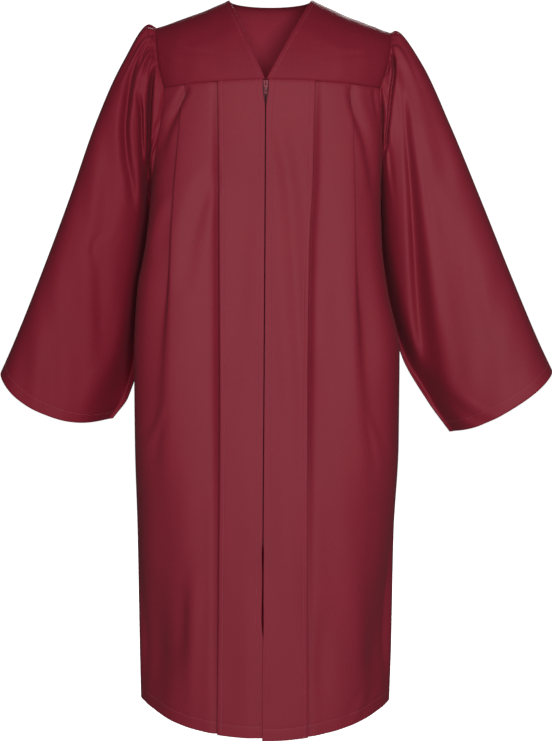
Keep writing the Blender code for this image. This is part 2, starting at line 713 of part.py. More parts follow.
def yoke_back_point(across, turn):
    """Back yoke: across -1 to 1 from armhole to armhole, turn 0 at the shoulder line and back
    neck to 90 degrees at the seam."""
    side = 1 if across >= 0 else -1
    share = abs(across)
    shoulder = SHOULDERS[side]
    if share <= BACK_NECK_SHARE:
        bend = share / BACK_NECK_SHARE * math.pi / 2
        top = Vector((side * NECK_HALF_WIDTH * math.sin(bend), BACK_NECK_DEPTH * math.cos(bend),
                      -BACK_NECK_DIP * math.cos(bend)))
    else:
        out = (share - BACK_NECK_SHARE) / (1 - BACK_NECK_SHARE)
        top_drop = mix(0.0, shoulder["drop"], out) + SHOULDER_SAG * math.sin(math.pi * out)
        top = Vector((mix(side * NECK_HALF_WIDTH, shoulder["x"], out), 0, -top_drop))
    top.y += SEAM_GAP / 2
    corner, _, corner_drop = armhole_corner(side, True)
    if share < 1:
        low_x = corner.x * share
        low_drop = back_seam_drop(low_x)
        low = body_point(math.copysign(math.pi, side) - angle_at_x(low_x, low_drop, True), low_drop)
        low.x = low_x
    else:
        low = corner
        low_drop = corner_drop
    fall = 1 - math.cos(turn)
    x = mix(top.x, low.x, fall ** (1 + share))
    return Vector((x, mix(top.y, low.y, math.sin(turn)), mix(top.z, -low_drop, fall)))


def make_back_yoke():
    half_columns = YOKE_BACK_HALF_COLUMNS
    grid = []
    for r in range(YOKE_ROWS + 1):
        turn = r / YOKE_ROWS * math.pi / 2
        row = [yoke_back_point(c / half_columns, turn) for c in range(-half_columns, half_columns + 1)]
        grid.append(row)
    normals = grid_normals(grid)
    normals = [[n if n.dot(Vector((0, 1, 1))) > 0 else -n for n in line] for line in normals]
    for side, end in ((-1, 0), (1, -1)):
        turned = [line[end] for line in normals]
        armhole_edge_normals([row[end] for row in grid], turned, side)
        for line, normal in zip(normals, turned):
            line[end] = normal
    outer, inner = thicken(grid, normals)
    return cloth_wall("yoke_back", outer, inner)


def armhole_ring(side):
    """Points and body normals round the armhole, from the shoulder down the front and up the
    back, one for each row of the yokes and each armhole column of the panels."""
    ring = []
    for r in range(YOKE_ROWS):
        ring.append(yoke_front_point(side, 1, r / YOKE_ROWS * math.pi / 2))
    for c in range(ARMHOLE_COLUMNS):
        angle, drop = armhole_place(side, c / ARMHOLE_COLUMNS)
        ring.append(body_point(angle, drop))
    for c in range(ARMHOLE_COLUMNS, 0, -1):
        angle, drop = armhole_place(side, c / ARMHOLE_COLUMNS, True)
        ring.append(body_point(angle, drop))
    for r in range(YOKE_ROWS, 0, -1):
        ring.append(yoke_back_point(side, r / YOKE_ROWS * math.pi / 2))
    return ring


def sleeve_section(side, t, angle):
    """Point of the sleeve's smooth form; angle 0 at the outer edge, 90 degrees at the front."""
    values = {name: read(SLEEVE_SECTIONS[side], "t", name, t) for name in SLEEVE_SECTIONS[side][0]}
    outer = Vector((values["outer_x"], 0, -values["outer_drop"]))
    inner = Vector((values["inner_x"], 0, -values["inner_drop"]))
    chord = (outer - inner) / 2
    down = Vector((side * chord.z, 0, -side * chord.x)).normalized()
    outer_front = math.sin(angle) > 0 and math.cos(angle) > 0
    power = SLEEVE_OUTER_FRONT_SQUARENESS if outer_front else SLEEVE_SQUARENESS
    along = math.copysign(abs(math.cos(angle)) ** (2 / power), math.cos(angle))
    forward = math.copysign(abs(math.sin(angle)) ** (2 / power), math.sin(angle))
    point = (outer + inner) / 2 + chord * along
    point += Vector((0, values["behind"] * (1 - along) / 2 - values["depth"] * forward, 0))
    return point + down * values["sag"] * math.sin(angle) ** 2


def fold_line(fold):
    """Points along a fold's curve in front view."""
    line = []
    for i in range(FOLD_LINE_STEPS + 1):
        s = i / FOLD_LINE_STEPS
        weights = ((1 - s) ** 2, 2 * s * (1 - s), s * s)
        x = sum(w * fold["x%d" % k] for k, w in enumerate(weights))
        drop = sum(w * fold["drop%d" % k] for k, w in enumerate(weights))
        line.append((x, drop))
    return line


def curve_distance(fold, x, drop):
    """Distance in front view from a fold's curve, and how far along it the nearest place is."""
    best = (1e9, 0.0)
    line = fold_line(fold)
    for i, ((x0, drop0), (x1, drop1)) in enumerate(zip(line, line[1:])):
        run_x = x1 - x0
        run_drop = drop1 - drop0
        t = ((x - x0) * run_x + (drop - drop0) * run_drop) / (run_x ** 2 + run_drop ** 2)
        t = min(max(t, 0.0), 1.0)
        away = math.hypot(x - x0 - t * run_x, drop - drop0 - t * run_drop)
        best = min(best, (away, (i + t) / FOLD_LINE_STEPS))
    return best


def sleeve_fold_depth(side, point, behind):
    """How deep the sleeve's largest folds press in at a point."""
    depth = 0.0
    for fold in SLEEVE_FOLDS[side]:
        distance, s = curve_distance(fold, abs(point.x), -point.z)
        ends = math.sin(math.pi * min(max(s, 0.02), 0.98)) ** 0.5
        depth += fold["depth"] * ends * math.exp(-(distance / fold["width"]) ** 2)
    return depth * (BACK_FOLD_SHARE if behind else 1)


def sleeve_grid(side):
    """First ring on the armhole, then fine rings and coarse rings to the cuff."""
    ring = armhole_ring(side)
    count = len(ring)
    doubled = []
    for i in range(count):
        doubled += [ring[i], (ring[i] + ring[(i + 1) % count]) / 2]
    grid = [doubled]
    middle = Vector((0, 0, -(UNDERARM_DROP + SHOULDERS[side]["drop"]) / 2))
    for level in SLEEVE_FINE_LEVELS + SLEEVE_COARSE_LEVELS:
        row = []
        join = smooth(level / SLEEVE_JOIN_AT)
        for i, start in enumerate(doubled):
            angle = 2 * math.pi * i / len(doubled)
            form = sleeve_section(side, level, angle)
            drift = form - sleeve_section(side, 0, angle)
            point = (start + drift).lerp(form, join)
            outward = Vector((0, point.y, 0))
            if outward.length > 1e-9:
                outward.normalize()
            head = max(0.0, abs(math.cos(angle / 2)))
            rises = smooth(level / GATHERS_START_AT)
            rises *= 1 - smooth((level - GATHERS_START_AT) / HEAD_GATHER_FADE)
            ripple = math.cos(2 * math.pi * HEAD_GATHER_COUNT * i / len(doubled))
            away = Vector((0, start.y, (start - middle).z)).normalized()
            point += away * HEAD_GATHER_DEPTH * rises * ripple * head ** 0.5
            pressed = sleeve_fold_depth(side, point, math.sin(angle) < 0)
            pressed *= smooth(abs(math.sin(angle)) * FOLD_SIDE_FADE) * smooth(level / FOLDS_START_AT)
            point -= outward * pressed
            row.append(point)
        grid.append(row)
    return grid


def make_sleeve(side):
    grid = sleeve_grid(side)
    normals = grid_normals(grid, closed=True)
    centre_line = [sum(row, Vector()) / len(row) for row in grid]
    normals = [[n if n.dot(p - c) > 0 else -n for n, p in zip(line, row)]
               for line, row, c in zip(normals, grid, centre_line)]
    count = len(grid[0])
    leaves = Vector((side * SLEEVE_LEAVES.x, 0, SLEEVE_LEAVES.z)).normalized()
    for i in range(count):
        point = grid[0][i]
        along = (grid[0][(i + 2) % count] - grid[0][(i - 2) % count]).normalized()
        body_normal = armhole_body_normal(side, point)
        normals[0][i] = seam_normal(body_normal, along, side, point)
    start = []
    for point, normal in zip(grid[0], normals[0]):
        out = leaves - normal * leaves.dot(normal)
        start.append(point + out.normalized() * ARMHOLE_GAP)
    grid[0] = start
    outer, inner = thicken(grid, normals)
    fine = 1 + len(SLEEVE_FINE_LEVELS)
    outer = [outer[0][::2]] + outer[1:fine] + [row[::2] for row in outer[fine:]]
    inner = [inner[0][::2]] + inner[1:fine] + [row[::2] for row in inner[fine:]]
    return cloth_wall("sleeve_left" if side < 0 else "sleeve_right", outer, inner, closed=True)


def armhole_body_normal(side, point):
    """Normal of the body's cloth at a point of the armhole."""
    if -point.z >= armhole_corner(side)[2]:
        back = point.y > 0
        angle = side * angle_at_reach(abs(point.y), -point.z, back)
        outside = body_point(angle, -point.z, -MM)
        return (outside - body_point(angle, -point.z)).normalized()
    drop = SHOULDERS[side]["drop"]
    lean = (-point.z - drop) / (armhole_corner(side)[2] - drop)
    turn = math.acos(min(max(1 - lean, 0), 1))
    near_seam = body_point(side * angle_at_reach(ARMHOLE_FRONT_REACH, NEAR_YOKE_SEAM), NEAR_YOKE_SEAM)
    low = armhole_body_normal(side, near_seam)
    facing = math.copysign(1, point.y)
    top = Vector((side * SHOULDER_TOP_LEAN[0], 0, SHOULDER_TOP_LEAN[1]))
    low.y = abs(low.y) * facing
    return (top * math.cos(turn) + low * math.sin(turn)).normalized()


def make_tape(side):
    """Zip tape behind a front panel's edge, made from the panel's points moved in."""
    outer = []
    inner = []
    near = WALL / 2 + SEAM_GAP
    last = ZIP_STOP_DROP + ZIP_TAPE_TAIL
    for r in range(ZIP_TAPE_ROWS + 1):
        drop = mix(ZIP_TOP_DROP, last, r / ZIP_TAPE_ROWS)
        front_row = []
        back_row = []
        for share in (0, 0.5, 1):
            x = zip_x(drop) + side * mix(ZIP_TAPE_INNER, ZIP_TAPE_WIDTH, share)
            angle = angle_at_x(x, drop)
            front_row.append(body_point(angle, drop, near))
            back_row.append(body_point(angle, drop, near + TAPE_THICKNESS))
        outer.append(front_row)
        inner.append(back_row)
    return cloth_wall("zip_tape_left" if side < 0 else "zip_tape_right", outer, inner, colour=TAPE_COLOUR)


def prism(name, outline, direction, low, high, finish):
    """Flat outline pushed along one axis; the outline gives the other two axes in order."""
    order = {"x": (1, 2, 0), "y": (0, 2, 1), "z": (0, 1, 2)}[direction]
    points = []
    for end in (low, high):
        for a, b in outline:
            place = [0.0, 0.0, 0.0]
            place[order[0]] = a
            place[order[1]] = b
            place[order[2]] = end
            points.append(tuple(place))
    count = len(outline)
    faces = [tuple(range(count)), tuple(range(2 * count - 1, count - 1, -1))]
    for i in range(count):
        j = (i + 1) % count
        faces.append((i, j, j + count, i + count))
    mesh = bpy.data.meshes.new(name)
    mesh.from_pydata(points, [], faces)
    body = bmesh.new()
    body.from_mesh(mesh)
    bmesh.ops.recalc_face_normals(body, faces=body.faces[:])
    body.to_mesh(mesh)
    body.free()
    return add_object(name, mesh, finish)


def combine(target, tool, operation):
    """Boolean of a hidden helper into a piece."""
    tool.hide_render = True
    tool.display_type = "WIRE"
    step = target.modifiers.new(operation.lower() + " " + tool.name, "BOOLEAN")
    step.operation = operation
    step.object = tool


def arc(centre_a, centre_b, radius, start, end, steps):
    """Points of a circle's arc, angles in degrees."""
    points = []
    for i in range(steps + 1):
        turn = math.radians(mix(start, end, i / steps))
        points.append((centre_a + radius * math.cos(turn), centre_b + radius * math.sin(turn)))
    return points


def zip_face_y(drop):
    """Middle of the cloth wall at the zip."""
    return body_point(angle_at_x(zip_x(drop), drop), drop).y


def pull_axis():
    """Centre of the pull's bar, inside the slider's bail."""
    drop = SLIDER_TOP_DROP + BAIL_INNER_HALF + BAIL_THICKNESS + BAIL_BELOW_TOP
    return Vector((zip_x(drop), zip_face_y(drop) - SLIDER_FRONT_OUT - BAIL_ROOM / 2, -drop))


def make_slider():
    finish = material("metal of zip_slider", METAL_COLOUR, 0.34, 0.9)
    axis = pull_axis()
    x = axis.x
    face = zip_face_y(SLIDER_TOP_DROP + SLIDER_LENGTH / 2)
    top = -SLIDER_TOP_DROP
    low = top - SLIDER_LENGTH
    half_top = SLIDER_TOP_WIDTH / 2
    half_low = SLIDER_LOW_WIDTH / 2
    corner = SLIDER_CORNER_RADIUS
    shoulder = top - SLIDER_LENGTH * SLIDER_WIDE_SHARE
    outline = arc(x + half_top - corner, top - corner, corner, 0, 90, 3)
    outline += arc(x - half_top + corner, top - corner, corner, 90, 180, 3)
    outline += [(x - half_low, shoulder), (x - half_low, low), (x + half_low, low), (x + half_low, shoulder)]
    slider = prism("zip_slider", outline, "y", face - SLIDER_FRONT_OUT, face - SLIDER_BACK_OUT, finish)

    # The neck passes between the tapes to the rear plate
    neck_half = SLIDER_NECK_WIDTH / 2
    neck_outline = [(x - neck_half, top - SLIDER_NECK_LOW), (x + neck_half, top - SLIDER_NECK_LOW),
                    (x + neck_half, top - SLIDER_NECK_TOP), (x - neck_half, top - SLIDER_NECK_TOP)]
    rear_near = face - SLIDER_REAR_NEAR
    rear_far = face - SLIDER_REAR_FAR
    back_of_plate = face - SLIDER_BACK_OUT
    neck_start = back_of_plate - PIECES_SINK_IN
    neck_end = rear_near + PIECES_SINK_IN
    neck = prism("neck", neck_outline, "y", neck_start, neck_end, finish)
    rear_half = half_low - SLIDER_REAR_INSET
    rear_outline = [(x - rear_half, low), (x + rear_half, low), (x + rear_half, top), (x - rear_half, top)]
    rear = prism("rear plate", rear_outline, "y", rear_near, rear_far, finish)

    # The bail is an arch along the zip that the pull's bar lies under
    plate_y = face - SLIDER_FRONT_OUT
    inner = BAIL_INNER_HALF
    reach = inner + BAIL_THICKNESS
    height = BAIL_ROOM + BAIL_THICKNESS
    foot = plate_y + PIECES_SINK_IN
    turns = [math.pi * i / BAIL_STEPS for i in range(BAIL_STEPS + 1)]
    rises = [abs(math.sin(turn)) ** BAIL_ROUNDNESS for turn in turns]
    arch = [(plate_y - height * rise, axis.z + reach * math.cos(turn)) for turn, rise in zip(turns, rises)]
    arch += [(foot, axis.z - reach), (foot, axis.z - inner)]
    arch += [(plate_y - BAIL_ROOM * rise, axis.z + inner * math.cos(turn))
             for turn, rise in zip(turns[::-1], rises[::-1])]
    arch += [(foot, axis.z + inner), (foot, axis.z + reach)]
    bail = prism("bail", arch, "x", x - BAIL_WIDTH / 2, x + BAIL_WIDTH / 2, finish)
    for helper in (neck, rear, bail):
        combine(slider, helper, "UNION")
    return slider


def make_pull():
    """Pull tab: a small plate that hangs by the bar at the top of its eye."""
    finish = material("metal of zip_pull", METAL_COLOUR, 0.34, 0.9)
    hinge = bpy.data.objects.new("zip_pull_hinge_axis", None)
    hinge.location = pull_axis()
    bpy.context.scene.collection.objects.link(hinge)
    half = PULL_WIDTH / 2
    bar = PULL_BAR_RADIUS
    low_half = PULL_LOW_HALF_WIDTH
    top_corner = bar - PULL_CORNER
    outline = [(half - PULL_CORNER, bar), (-half + PULL_CORNER, bar), (-half, top_corner)]
    outline += [(-half, -PULL_EYE_END), (-low_half, -PULL_EYE_END - PULL_TAPER)]
    outline += arc(0, -PULL_LENGTH + low_half, low_half, 180, 360, 8)
    outline += [(low_half, -PULL_EYE_END - PULL_TAPER), (half, -PULL_EYE_END), (half, top_corner)]
    pull = prism("zip_pull", outline, "y", -bar, bar, finish)
    eye_half = PULL_EYE_WIDTH / 2
    through = 4 * bar
    eye_outline = [(-eye_half, -bar), (eye_half, -bar)]
    eye_outline += [(eye_half, -PULL_EYE_END), (-eye_half, -PULL_EYE_END)]
    eye = prism("eye", eye_outline, "y", -through, through, finish)
    slot_outline = arc(0, -PULL_SLOT_TOP, PULL_SLOT_RADIUS, 0, 180, 6)
    slot_outline += arc(0, -PULL_LENGTH + PULL_SLOT_FROM_END, PULL_SLOT_RADIUS, 180, 360, 6)
    slot = prism("slot", slot_outline, "y", -through, through, finish)
    for helper in (eye, slot):
        combine(pull, helper, "DIFFERENCE")
        helper.parent = hinge
    pull.parent = hinge
    return pull


def make_stop():
    finish = material("metal of zip_bottom_stop", METAL_COLOUR, 0.38, 0.9)
    x = zip_x(ZIP_STOP_DROP)
    face = zip_face_y(ZIP_STOP_DROP)
    half = STOP_WIDTH / 2
    outline = [(x - half, -ZIP_STOP_DROP - STOP_HEIGHT), (x + half, -ZIP_STOP_DROP - STOP_HEIGHT),
               (x + half, -ZIP_STOP_DROP), (x - half, -ZIP_STOP_DROP)]
    stop = prism("zip_bottom_stop", outline, "y", face - STOP_FRONT_OUT, face - SLIDER_BACK_OUT, finish)
    rounded = stop.modifiers.new("rounded edges", "BEVEL")
    rounded.width = STOP_ROUNDING
    rounded.segments = 2
    return stop


def main():
    for old in list(bpy.data.objects):
        bpy.data.objects.remove(old, do_unlink=True)
    for side in (-1, 1):
        make_front_yoke(side)
        make_front(side)
        make_sleeve(side)
        make_tape(side)
    make_back_yoke()
    make_back()
    make_slider()
    make_pull()
    make_stop()
    bpy.context.view_layer.update()


main()
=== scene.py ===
import math

import bpy
import numpy as np
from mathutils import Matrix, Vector


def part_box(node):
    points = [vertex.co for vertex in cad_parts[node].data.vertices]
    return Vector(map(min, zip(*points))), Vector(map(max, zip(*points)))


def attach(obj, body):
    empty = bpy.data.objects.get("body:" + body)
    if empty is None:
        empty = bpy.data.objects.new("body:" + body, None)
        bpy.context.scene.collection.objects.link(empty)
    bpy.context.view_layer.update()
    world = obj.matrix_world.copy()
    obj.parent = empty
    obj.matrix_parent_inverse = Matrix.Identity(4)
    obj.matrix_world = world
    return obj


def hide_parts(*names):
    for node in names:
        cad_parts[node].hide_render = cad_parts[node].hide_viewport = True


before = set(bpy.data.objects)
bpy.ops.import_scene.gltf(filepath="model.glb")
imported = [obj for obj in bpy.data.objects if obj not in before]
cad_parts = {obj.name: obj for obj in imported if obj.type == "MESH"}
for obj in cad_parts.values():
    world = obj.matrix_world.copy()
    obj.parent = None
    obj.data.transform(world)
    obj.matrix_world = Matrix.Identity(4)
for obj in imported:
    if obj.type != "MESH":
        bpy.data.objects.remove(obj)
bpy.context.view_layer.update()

mm = 0.001
print("gown: frame loaded,", len(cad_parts), "solids")

# "drop" is a distance below the shoulder line, "side" is -1 for the left sleeve and 1 for the right one.
# Every cloth piece is a grid of points: rows run down the piece, columns run across it.


def table(columns, *rows):
    names = columns.split()
    return [dict(zip(names, row)) for row in rows]


# shared by every cloth piece
cloth = dict(
    thickness=0.9 * mm,         # one layer of twill
    seamGap=0.3 * mm,
    armholeGap=0.3 * mm,
    hemHeight=20 * mm,          # turned up at the hem and the cuffs
    hemLayer=0.5 * mm,          # what the turned-up layer adds on the inside
    rimRound=0.45,              # how far an edge bulges, in thicknesses
    seamRoll=1.0 * mm,          # how deep an edge rolls into a seam
    seamRollWidth=4.5 * mm,
    creaseShoulder=0.26,        # the low ridges on both sides of a trough, against its depth
)

# the body's sections from chest to hem, as reaches from the middle
body = dict(
    squareness=2.5,             # of the back; the front's is the table's last column
    sections=table(
        "drop left right front back square",
        (0.130, 0.1950, 0.2020, 0.1130, 0.106, 2.5),
        (0.200, 0.1980, 0.2000, 0.1145, 0.110, 2.6),
        (0.330, 0.2067, 0.1910, 0.1230, 0.119, 3.1),
        (0.420, 0.2160, 0.1930, 0.1270, 0.124, 3.5),
        (0.500, 0.2312, 0.2030, 0.1300, 0.128, 3.5),
        (0.611, 0.2370, 0.2250, 0.1340, 0.134, 3.4),
        (0.765, 0.2370, 0.2245, 0.1390, 0.141, 2.9),
        (0.925, 0.2343, 0.2170, 0.1440, 0.147, 2.2),
        (1.121, 0.2318, 0.2138, 0.1500, 0.153, 1.9),
        (1.270, 0.2290, 0.2090, 0.1550, 0.158, 1.9),
    ),
    hemFront={-1: 1.2568, 1: 1.2612},
    hemBack=1.2520,
    hemRise=0.036,              # the hem is higher at the sides
    hemRisePower={-1: 2.5, 1: 2.2},
    hemSection=1.25,
)

# shoulders, neck, yoke seams and armholes
yoke = dict(
    neckHalfWidth=0.0715,
    backNeckDepth=0.055,
    backNeckDip=0.005,
    backNeckShare=0.38,
    shoulder={-1: (-0.1970, 0.047), 1: (0.2074, 0.055)},
    shoulderSag=2.8 * mm,
    seamDrop=0.1440,
    backSeamDrop=0.142,
    seamFall=0.010,
    seamSpan=0.180,
    seamPower=1.8,
    armholeFront=0.057,
    armholeBack=0.055,
    underarm=0.330,
    sideSeamHalfGap=math.radians(0.045),
    turnRows=24,                # rows from shoulder line to seam
    armholeColumns=18,          # columns round the lower armhole, front or back
)

zipLine = dict(
    places=table("drop x", (0.130, -0.0075), (0.500, -0.0095), (0.9185, -0.0123), (1.270, -0.0141)),
    edgeGap=1.15 * mm,
    topSpread=4.0 * mm,         # the cloth is parted round the slider
    spreadFrom=0.160,
    spreadTo=0.193,
    top=0.1455,
    stop=0.9185,
    slitWaver=0.7 * mm,         # the open edges below the stop aren't straight
    lapOver=table("drop left right", (0.9185, 0, 0), (0.950, -0.0010, 0.0004), (1.050, -0.0004, 0.0008),
                  (1.110, 0.0030, -0.0004), (1.270, 0.0052, -0.0010)),
    lapBack=2.8 * mm,           # there the left edge hangs a little behind the right one
)


def smooth(amount):
    amount = np.clip(amount, 0.0, 1.0)
    return amount * amount * (3 - 2 * amount)


def mix(low, high, amount):
    return low + (high - low) * amount


def bell(distance, width):
    return np.exp(-(distance / width) ** 2)


def read(rows, name, at):
    # Smooth curve through one column of a table, without overshoot; the first column is the place
    key = next(iter(rows[0]))
    places = np.array([row[key] for row in rows], float)
    values = np.array([row[name] for row in rows], float)
    steps = np.diff(values) / np.diff(places)
    slopes = np.concatenate([steps[:1], steps[:-1] * 0, steps[-1:]])
    turning = steps[:-1] * steps[1:] > 0
    total = np.where(turning, steps[:-1] + steps[1:], 1)
    slopes[1:-1] = np.where(turning, 2 * steps[:-1] * steps[1:] / total, 0)
    at = np.clip(at, places[0], places[-1])
    i = np.clip(np.searchsorted(places, at, side="right") - 1, 0, len(places) - 2)
    width = places[i + 1] - places[i]
    t = (at - places[i]) / width
    start = (1 + 2 * t) * (1 - t) ** 2 * values[i] + t * (1 - t) ** 2 * width * slopes[i]
    return start + t * t * (3 - 2 * t) * values[i + 1] + t * t * (t - 1) * width * slopes[i + 1]


def vector(x, y, z):
    return np.stack(np.broadcast_arrays(x, y, z), axis=-1).astype(float)


def unit(v):
    return v / np.maximum(np.linalg.norm(v, axis=-1, keepdims=True), 1e-12)


# body, yoke and armhole forms


def bodySize(drop):
    left = read(body["sections"], "left", drop)
    right = read(body["sections"], "right", drop)
    front = read(body["sections"], "front", drop)
    back = read(body["sections"], "back", drop)
    return (right - left) / 2, (right + left) / 2, front, back


def squareAt(drop, back=False):
    return body["squareness"] if back else read(body["sections"], "square", drop)


def bodyPoint(angle, drop, inward=0.0):
    # 0 is the front, 90 degrees a side, 180 the back; negative towards -X
    centre, half, front, back = bodySize(drop)
    side = np.where(np.sin(angle) < 0, -1.0, 1.0)
    facing = np.where(np.cos(angle) >= 0, -1.0, 1.0)
    power = np.where(facing < 0, squareAt(drop), squareAt(drop, True))
    across = np.abs(np.sin(angle)) ** (2 / power)
    along = np.abs(np.cos(angle)) ** (2 / power)
    reach = np.where(facing < 0, front, back)
    normal = unit(vector(side * across ** (power - 1) / half, facing * along ** (power - 1) / reach, 0.0))
    point = vector(centre + side * half * across, facing * reach * along, -np.asarray(drop, float))
    return point - normal * np.asarray(inward)[..., None]


def angleAtX(x, drop, back=False):
    centre, half, _, _ = bodySize(drop)
    share = np.minimum(np.abs(x - centre) / half, 1.0)
    return np.copysign(np.arcsin(share ** (squareAt(drop, back) / 2)), x - centre)


def angleAtReach(reach, drop, back=False):
    _, _, front, rear = bodySize(drop)
    share = np.minimum(reach / (rear if back else front), 1.0)
    angle = np.arccos(share ** (squareAt(drop, back) / 2))
    return math.pi - angle if back else angle


def seamDropAt(x, back=False):
    fall = yoke["seamFall"] * np.minimum(np.abs(x) / yoke["seamSpan"], 1.1) ** yoke["seamPower"]
    return (yoke["backSeamDrop"] if back else yoke["seamDrop"]) + fall


def hemDropAt(x, lowest):
    centre, half, _, _ = bodySize(body["hemSection"])
    power = body["hemRisePower"][-1 if x < centre else 1]
    return lowest - body["hemRise"] * np.minimum(np.abs(x - centre) / half, 1.0) ** power


def armholeCorner(side, back=False):
    reach = yoke["armholeBack"] if back else yoke["armholeFront"]
    drop = float(seamDropAt(yoke["seamSpan"], back))
    angle = side * float(angleAtReach(reach, drop, back))
    return bodyPoint(angle, drop), angle, drop


def armholePlace(side, share, back=False):
    # share 0 is the yoke seam, 1 the underarm
    corner = armholeCorner(side, back)[2]
    turn = np.asarray(share) * math.pi / 2
    drop = mix(corner, yoke["underarm"], np.sin(turn))
    reach = (yoke["armholeBack"] if back else yoke["armholeFront"]) * np.cos(turn)
    return side * angleAtReach(reach, drop, back), drop


def zipX(drop):
    return read(zipLine["places"], "x", drop)


def zipEdgeX(side, drop):
    z = zipLine
    open_ = 1 - smooth((drop - z["spreadFrom"]) / (z["spreadTo"] - z["spreadFrom"]))
    below = smooth((drop - z["stop"]) / 0.03)
    waver = below * z["slitWaver"] * np.sin(drop * 41 + 1.1 * side) * (1.0 if side < 0 else 0.4)
    waver = waver + read(z["lapOver"], "left" if side < 0 else "right", drop)
    return zipX(drop) + side * (z["edgeGap"] + z["topSpread"] * open_) + waver


def yokeFrontPoint(side, across, turn):
    # across 0 at the neck edge to 1 at the armhole, turn 0 at the shoulder line to 90 degrees at the seam
    shoulderX, shoulderDrop = yoke["shoulder"][side]
    corner, _, cornerDrop = armholeCorner(side)
    topX = mix(side * yoke["neckHalfWidth"], shoulderX, across)
    lowX = mix(zipX(yoke["seamDrop"]) + side * zipLine["edgeGap"], corner[0], across)
    ends = np.asarray(across) >= 1
    lowDrop = np.where(ends, cornerDrop, seamDropAt(lowX))
    low = np.where(ends[..., None], corner, bodyPoint(angleAtX(lowX, lowDrop), lowDrop))
    fall = 1 - np.cos(turn)
    x = mix(topX, low[..., 0], fall ** (1 + across))
    y = mix(-cloth["seamGap"] / 2, low[..., 1], np.sin(turn))
    topDrop = mix(0.0, shoulderDrop, across) + yoke["shoulderSag"] * np.sin(math.pi * across)
    return vector(x, y, -mix(topDrop, lowDrop, fall))


def yokeBackPoint(across, turn):
    # across -1 to 1 from armhole to armhole, turn 0 at the shoulder line and back neck
    across, turn = np.broadcast_arrays(np.asarray(across, float), turn)
    out = np.empty(across.shape + (3,))
    for side in (-1, 1):
        mine = across >= 0 if side > 0 else across < 0
        share = np.abs(across[mine])
        bend = np.minimum(share / yoke["backNeckShare"], 1) * math.pi / 2
        spread = np.clip((share - yoke["backNeckShare"]) / (1 - yoke["backNeckShare"]), 0, 1)
        shoulderX, shoulderDrop = yoke["shoulder"][side]
        onNeck = share <= yoke["backNeckShare"]
        neckX = side * yoke["neckHalfWidth"]
        topX = np.where(onNeck, neckX * np.sin(bend), mix(neckX, shoulderX, spread))
        topY = np.where(onNeck, yoke["backNeckDepth"] * np.cos(bend), 0.0) + cloth["seamGap"] / 2
        slope = -shoulderDrop * spread - yoke["shoulderSag"] * np.sin(math.pi * spread)
        topZ = np.where(onNeck, -yoke["backNeckDip"] * np.cos(bend), slope)
        corner, _, cornerDrop = armholeCorner(side, True)
        lowX = corner[0] * share
        ends = share >= 1
        lowDrop = np.where(ends, cornerDrop, seamDropAt(lowX, True))
        low = bodyPoint(math.copysign(math.pi, side) - angleAtX(lowX, lowDrop, True), lowDrop)
        low[..., 0] = lowX
        low = np.where(ends[..., None], corner, low)
        fall = 1 - np.cos(turn[mine])
        x = mix(topX, low[..., 0], fall ** (1 + share))
        out[mine] = vector(x, mix(topY, low[..., 1], np.sin(turn[mine])), mix(topZ, -lowDrop, fall))
    return out


def armholeRing(side):
    rows, columns = yoke["turnRows"], yoke["armholeColumns"]
    down = np.arange(rows) / rows * math.pi / 2
    shares = np.arange(columns) / columns
    frontAngle, frontDrop = armholePlace(side, shares)
    backAngle, backDrop = armholePlace(side, 1 - shares, True)
    return np.concatenate([
        yokeFrontPoint(side, np.ones(rows), down),
        bodyPoint(frontAngle, frontDrop),
        bodyPoint(backAngle, backDrop),
        yokeBackPoint(np.full(rows, float(side)), math.pi / 2 - down),
    ])


# creases: curves in front view, pressed in (or raised, with a negative depth)


def crease(*rows):
    # drop and x (distance from the middle plane) in metres; depth and the widths on both sides in mm
    return table("drop x depth inner outer", *rows)


def creaseField(creases, x, drop):
    # How deep the creases press in at each point
    total = np.zeros(x.shape)
    for rows in creases:
        lean = (read(rows, "x", drop + mm) - read(rows, "x", drop - mm)) / (2 * mm)
        away = (x - read(rows, "x", drop)) / np.sqrt(1 + lean * lean)
        q = np.abs(away) / np.where(away > 0, read(rows, "outer", drop), read(rows, "inner", drop)) / mm
        depth = read(rows, "depth", drop)
        lip = np.clip(cloth["creaseShoulder"] * depth, -0.5, 0.8)
        total += mm * (depth * np.exp(-q * q) - lip * np.exp(-((q - 1.9) / 0.8) ** 2))
    return total


def unevenness(seed, u, v, longest, shortest, count=14):
    # Soft irregular surface between about -1 and 1 over two lengths in metres
    rng = np.random.default_rng(seed)
    total = np.zeros(np.broadcast(u, v).shape)
    for _ in range(count):
        length = math.exp(rng.uniform(math.log(shortest), math.log(longest)))
        lean = rng.uniform(-0.55, 0.55)
        phase = rng.uniform(0, 2 * math.pi)
        total += np.sin(2 * math.pi * (u * math.cos(lean) + 0.35 * v * math.sin(lean)) / length + phase)
    return total / math.sqrt(count)


# from grids to cloth


def gridNormals(grid, closed=False):
    if closed:
        across = np.roll(grid, -1, axis=1) - np.roll(grid, 1, axis=1)
    else:
        across = np.gradient(grid, axis=1)
    return unit(np.cross(across, np.gradient(grid, axis=0)))


def seamNormals(points, normals, side):
    # Turns the normals along an armhole half way towards the sleeve's, so the edges lie side by side
    leaves = np.array([side * 0.86, 0.0, -0.5])
    along = unit(np.gradient(points, axis=0))
    sleeve = unit(np.cross(leaves, along))
    middle = (yoke["underarm"] + yoke["shoulder"][side][1]) / 2
    away = points * [0, 1, 1] + [0, 0, middle]
    sleeve *= np.where((sleeve * away).sum(-1) < 0, -1.0, 1.0)[:, None]
    return unit(normals + sleeve)


